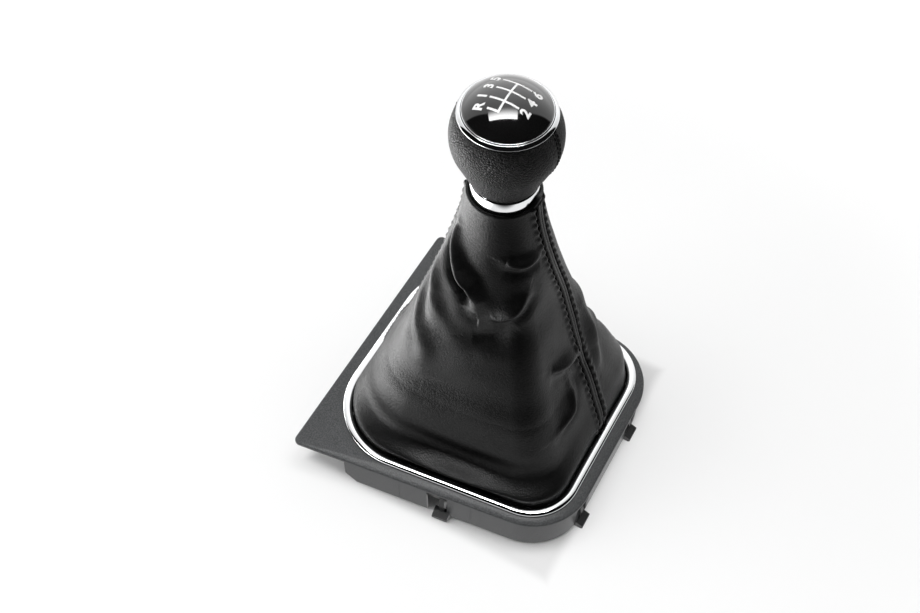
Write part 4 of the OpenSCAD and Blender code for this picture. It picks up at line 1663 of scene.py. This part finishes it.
    def bezel(self) -> bpy.types.Object:
        """The thin bright edge round the cap.

        Returns:
            The bezel.
        """
        s, r = self.sizes, self.bezel_w / 2
        inner = s.cap_r + self.bezel_gap
        low, high = (s.rim_z - drop for drop in self.bezel_drop)
        profile = [(inner, low), (inner + 2 * r, low)] + arc(inner + r, high, r, 0, 180, 8)
        return self.mount(turn("bright_bezel", profile, s.lever_y), Finish.CHROME, "cap_bezel")

    def cap(self) -> bpy.types.Object:
        """The gloss dome with its short straight edge.

        Returns:
            The cap.
        """
        s = self.sizes
        edge = math.degrees(math.acos(s.cap_r / s.dome_r))
        dome = arc(0, s.rim_z + s.cap_dome_h - s.dome_r, s.dome_r, edge + 0.6, 90, 36)
        low = s.rim_z - self.cap_skirt
        profile = [(0, low), (s.cap_r, low), (s.cap_r, s.rim_z - 0.1 * MM)] + dome
        return self.mount(turn("gloss_cap", profile, s.lever_y, 160), Finish.CAP, "shift_cap")

    def strip(self, name: str, x0: float, y0: float, x1: float, y1: float) -> bpy.types.Object:
        """One line of the shift pattern, as a flat strip with many cells.

        Args:
            name: Name of the strip.
            x0: Its start across the car, measured from the lever's axis.
            y0: Its start along the car.
            x1: Its end across the car.
            y1: Its end along the car.

        Returns:
            The strip.
        """
        deselect()
        long_x, w, fine, coarse = abs(x1 - x0) > abs(y1 - y0), self.line_w, 24, 4
        bpy.ops.mesh.primitive_grid_add(x_subdivisions=fine if long_x else coarse,
                                        y_subdivisions=coarse if long_x else fine, size=1.0)
        obj = bpy.context.object
        obj.name = name
        to_edit(obj)
        bpy.ops.mesh.select_all(action="SELECT")
        size = (abs(x1 - x0) + w, w, 1) if long_x else (w, abs(y1 - y0) + w, 1)
        bpy.ops.transform.resize(value=size)
        bpy.ops.transform.translate(value=((x0 + x1) / 2, (y0 + y1) / 2, 0))
        return out_of_edit(obj)

    def shift_lines(self) -> bpy.types.Object:
        """The gates and their cross line, printed on the dome.

        Returns:
            The lines, as one piece.
        """
        first, y, reach = self.gate_x[0], self.cross_y, self.gate_y
        parts = [self.strip("gate_cross", first, y, self.gate_x[-1], y),
                 self.strip("gate_0", first, y, first, y + reach - self.reverse_short)]
        parts += [self.strip(f"gate_{k}", x, y - reach, x, y + reach)
                  for k, x in enumerate(self.gate_x[1:], 1)]
        return self.printed("shift_lines", parts)

    def printed(self, name: str, parts: list[bpy.types.Object]) -> bpy.types.Object:
        """Joins flat parts, drapes them over the dome and gives them a thickness.

        Args:
            name: Name of the piece.
            parts: Flat parts, drawn round the cap's middle.

        Returns:
            The piece.
        """
        deselect()
        for part in parts:
            part.select_set(True)
        bpy.context.view_layer.objects.active = parts[0]
        bpy.ops.object.join()
        obj = bpy.context.object
        obj.name = name
        s = self.sizes
        for v in obj.data.vertices:
            x, y, up = v.co
            v.co = (x, y + s.lever_y, s.dome_z(x, y) + self.print_rise + up)
        modify(obj, "SOLIDIFY", thickness=self.print_t, offset=-1.0)
        return self.mount(obj, Finish.WHITE)

    def figures(self) -> bpy.types.Object:
        """The letter and the numbers at the ends of the gates.

        Returns:
            The letter and the numbers, as one piece.
        """
        reverse_y, far_y, near_y, last_y = self.figure_y
        spots = (("R", 0, reverse_y), ("1", 1, far_y), ("3", 2, far_y), ("5", 3, far_y),
                 ("2", 1, near_y), ("4", 2, near_y), ("6", 3, last_y))
        parts = []
        for text, gate, y in spots:
            deselect()
            bpy.ops.object.text_add(location=(self.gate_x[gate], y, 0))
            obj = bpy.context.object
            obj.data.body = text
            obj.data.size = self.figure_h / FIGURE_SHARE
            obj.data.align_x = "CENTER"
            obj.data.align_y = "CENTER"
            obj.data.resolution_u = 4
            obj.data.offset = self.figure_bold
            bpy.ops.object.convert(target="MESH")
            obj = bpy.context.object
            take(obj)
            bpy.ops.object.transform_apply(location=True, rotation=True, scale=True)
            to_edit(obj)
            bpy.ops.mesh.select_all(action="SELECT")
            bpy.ops.mesh.remove_doubles(threshold=1e-6)
            bpy.ops.mesh.subdivide(number_cuts=2)
            parts.append(out_of_edit(obj))
        return self.printed("shift_figures", parts)


def node_object(node: str) -> bpy.types.Object:
    """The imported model's object of a CAD node.

    Args:
        node: Name of the node.

    Returns:
        Its object.
    """
    for obj in bpy.context.scene.objects:
        if obj.get("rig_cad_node") == node:
            return obj
    raise KeyError(node)


# Studio


@dataclass
class Studio:
    """The camera, the white floor, the softboxes and the room that the bright pieces mirror.

    The floor, the room and the cards differ for the camera, for mirrored and for dull light, as
    screens do in a photographer's studio. Distances run from the object's middle.
    """

    eye: tuple[float, float, float] = (-0.32166, -0.16110, 0.64202)
    forward: tuple[float, float, float] = (0.48892, 0.27437, -0.82806)
    roll: float = -0.1
    sensor_w: float = 36.0
    lens: float = 1250 / 920 * 36.0
    white: float = 1.28
    footprint: float = 0.08
    footprint_soft: float = 0.008
    shadow_reach: tuple[float, float] = (0.22, 0.6)
    shadow_share: tuple[float, float] = (0.36, 1.0)
    dark_from: float = 0.175
    dark_soft: float = 0.06
    dark_level: float = 0.03
    glow_left: tuple[float, float] = (0.11, 0.25)
    floor_glow: tuple[float, float] = (0.95, 12.0)
    floor_reach: tuple[float, float] = (0.27, 0.42)
    floor_rest: float = 0.05
    far_floor: tuple[float, float] = (0.15, 0.4)
    room_r: float = 4.5
    room_wedge: float = 0.42
    room_edge: tuple[float, float] = (-0.8, -0.5)
    room_level: tuple[float, float] = (0.004, 0.8)
    room_rise: float = 0.7
    room_far: float = 3.5

    @property
    def heading(self) -> Vector:
        """The camera's direction along the floor."""
        return Vector((self.forward[0], self.forward[1], 0)).normalized()

    @property
    def leftward(self) -> Vector:
        """The camera's left along the floor."""
        return Vector((-self.heading.y, self.heading.x, 0))

    @property
    def target(self) -> Vector:
        """The point that the lights aim at, at half the object's height."""
        return Vector((0, 0, 0.13))

    def build(self) -> None:
        """Sets up the camera, lights and stage."""
        self.camera()
        self.floor()
        self.world()
        self.softboxes()
        self.dark_room()
        bpy.context.scene.view_settings.view_transform = "Standard"

    def camera(self) -> None:
        """The camera at the photograph's place."""
        data = bpy.data.cameras.new("camera")
        data.lens, data.sensor_width = self.lens, self.sensor_w
        data.clip_start, data.clip_end = 0.01, 50.0
        obj = bpy.data.objects.new("camera", data)
        bpy.context.collection.objects.link(obj)
        obj.location = self.eye
        turned = Vector(self.forward).to_track_quat("-Z", "Y").to_matrix()
        obj.rotation_euler = (turned @ Matrix.Rotation(math.radians(self.roll), 3, "Z")).to_euler()
        bpy.context.scene.camera = obj

    def floor(self) -> None:
        """A white floor that keeps a soft shadow, with a glow of its own in mirrored light.

        The camera sees it lit from itself, less so near the object, where the shadow shows, and
        dull under the object. Bright pieces mirror a strong glow on the left, none on the
        camera's side, and a plain white beyond the object.
        """
        deselect()
        bpy.ops.mesh.primitive_plane_add(size=12.0)
        obj = bpy.context.object
        obj.name = "floor"
        w, skin, out = self.stage_material(obj, "white floor")
        skin.inputs["Base Color"].default_value = grey(0.8)
        skin.inputs["Roughness"].default_value = 0.9
        path = w.node("ShaderNodeLightPath")
        mirrored = path.outputs["Is Glossy Ray"]
        seen = w.maths("MAXIMUM", path.outputs["Is Camera Ray"],
                       path.outputs["Is Transmission Ray"])
        where = w.here()
        along, left = w.dot(where, self.heading), w.dot(where, self.leftward)
        near = w.ramp(along, -self.dark_from - self.dark_soft, -self.dark_from,
                      self.dark_level, 1.0)
        reach = w.node("ShaderNodeVectorMath", operation="LENGTH")
        w.feed(where, reach.inputs[0])
        far = reach.outputs["Value"]
        near = w.maths("MULTIPLY", near, w.ramp(far, *self.floor_reach, 1.0, self.floor_rest))
        lit = w.maths("MULTIPLY", near, w.ramp(left, *self.glow_left, *self.floor_glow))
        lit = w.maths("MAXIMUM", lit, w.ramp(along, *self.far_floor))
        strength = w.maths("ADD", w.maths("MULTIPLY", seen, self.white),
                           w.maths("MULTIPLY", mirrored, lit))
        glow = w.node("ShaderNodeEmission", Color=grey(1.0), Strength=strength)
        axes = w.node("ShaderNodeSeparateXYZ")
        w.feed(where, axes.inputs[0])
        out_by = w.maths("MAXIMUM", w.maths("ABSOLUTE", axes.outputs[0]),
                         w.maths("ABSOLUTE", axes.outputs[1]))
        open_share = w.ramp(far, *self.shadow_reach, *self.shadow_share)
        share = w.maths("MULTIPLY", seen, w.ramp(
            out_by, self.footprint - self.footprint_soft, self.footprint, 0.0, open_share))
        mixed = w.node("ShaderNodeMixShader")
        for source, socket in zip((w.maths("MAXIMUM", share, mirrored), skin.outputs[0],
                                   glow.outputs[0]), mixed.inputs):
            w.feed(source, socket)
        w.feed(mixed.outputs[0], out.inputs["Surface"])

    @staticmethod
    def stage_material(obj: bpy.types.Object,
                       name: str) -> tuple[Wiring, bpy.types.Node, bpy.types.Node]:
        """Gives a piece of the stage a node material.

        Args:
            obj: The piece.
            name: Name of the material.

        Returns:
            The material's wiring, its Principled node and its output node.
        """
        material, w, skin = start_material(name)
        obj.data.materials.append(material)
        return w, skin, material.node_tree.nodes["Material Output"]

    def world(self) -> None:
        """Surroundings that are white where the camera or a reflection sees them, or else grey."""
        world = bpy.data.worlds.new("pale room")
        bpy.context.scene.world = world
        world.use_nodes = True
        w = Wiring(world.node_tree)
        back = world.node_tree.nodes["Background"]
        path = w.node("ShaderNodeLightPath")
        direct = w.maths("MAXIMUM", path.outputs["Is Camera Ray"], path.outputs["Is Glossy Ray"])
        seen = w.maths("MAXIMUM", direct, path.outputs["Is Transmission Ray"])
        w.feed(w.mix(seen, grey(0.25), grey(1.0)), back.inputs["Color"])

    def softboxes(self) -> None:
        """Softboxes overhead and at both sides for dull light, and one that is only mirrored."""
        self.card("overhead", 0, 90, 1.4, (1.4, 0.52), 7.0, mirrored=False)
        self.card("glint", 0, 90, 1.34, (1.2, 0.5), 16.0, lights=False, fade=0.08, shift=0.22)
        self.card("left_side", 95, 28, 1.6, (1.6, 1.1), 2.6, mirrored=False)
        self.card("right_side", -85, 20, 1.8, (1.2, 0.8), 1.2, mirrored=False)

    def card(self, name: str, azimuth: float, elevation: float, distance: float,
             size: tuple[float, float], strength: float, mirrored: bool = True,
             lights: bool = True, fade: float = 1.0, shift: float = 0.0) -> None:
        """A glowing card that faces the object, as part of the stage.

        Args:
            name: Name of the card.
            azimuth: Direction to it in degrees, 0 away from the camera and positive to the left.
            elevation: Its height in degrees, seen from the object.
            distance: Its distance from the object.
            size: Its width and its height.
            strength: How bright it is, where 1 is white.
            mirrored: Whether shiny pieces mirror it.
            lights: Whether it lights dull surfaces.
            fade: Share of the strength that is left at its lower edge.
            shift: How far it is moved to the left.
        """
        heading = math.atan2(self.forward[1], self.forward[0]) + math.radians(azimuth)
        up = math.radians(elevation)
        flat = math.cos(up)
        toward = Vector((math.cos(heading) * flat, math.sin(heading) * flat, math.sin(up)))
        deselect()
        bpy.ops.mesh.primitive_plane_add(size=1.0)
        obj = bpy.context.object
        obj.name = name
        across = Vector((-math.sin(heading), math.cos(heading), 0))
        above = toward.cross(across)
        bm = to_edit(obj)
        middle = toward * distance + self.target
        for v in bm.verts:
            v.co = across * (v.co.x * size[0] + shift) + above * (v.co.y * size[1]) + middle
        bmesh.update_edit_mesh(obj.data)
        if bm.faces[:][0].normal.dot(toward) > 0:
            bpy.ops.mesh.select_all(action="SELECT")
            bpy.ops.mesh.flip_normals()
        out_of_edit(obj)
        w, _, out = self.stage_material(obj, name)
        back = w.node("ShaderNodeNewGeometry").outputs["Backfacing"]
        level = above.dot(self.target)
        strong = w.ramp(w.dot(w.here(), above), level - size[1] / 2, level + size[1] / 2,
                        strength * fade, strength)
        w.glow(w.maths("MULTIPLY", w.maths("SUBTRACT", 1.0, back), strong), out.inputs["Surface"])
        obj.visible_camera = False
        obj.visible_shadow = False
        obj.visible_glossy = mirrored
        obj.visible_diffuse = lights

    def dark_room(self) -> None:
        """A dome that only reflections see: pale beyond the object, dark on the camera's side."""
        deselect()
        bpy.ops.mesh.primitive_uv_sphere_add(segments=96, ring_count=48, radius=self.room_r)
        obj = bpy.context.object
        obj.name = "dark_room"
        bm = to_edit(obj)
        for f in bm.faces:
            f.select_set(f.calc_center_median().z < 0.05)
        bmesh.update_edit_mesh(obj.data)
        bpy.ops.mesh.delete(type="FACE")
        out_of_edit(obj)
        w, _, out = self.stage_material(obj, "room")
        where = w.here()
        aside = w.maths("ABSOLUTE", w.dot(where, self.leftward))
        wedge = w.maths("SUBTRACT", w.dot(where, self.heading),
                        w.maths("MULTIPLY", aside, self.room_wedge))
        edge = w.ramp(wedge, *self.room_edge, *self.room_level)
        rise = w.ramp(wedge, self.room_edge[1], self.room_far, 0.0, self.room_rise)
        w.glow(w.maths("ADD", edge, rise), out.inputs["Surface"])
        obj.visible_camera = False
        obj.visible_diffuse = False
        obj.visible_shadow = False


def main() -> None:
    """Builds the studio and the object."""
    logging.basicConfig(level=logging.INFO, format="%(name)s: %(message)s")
    sizes = Sizes()
    Studio().build()
    TrimFrame(sizes).build()
    Gaiter(sizes).build()
    Knob(sizes).build()


if __name__ == "__main__":
    main()
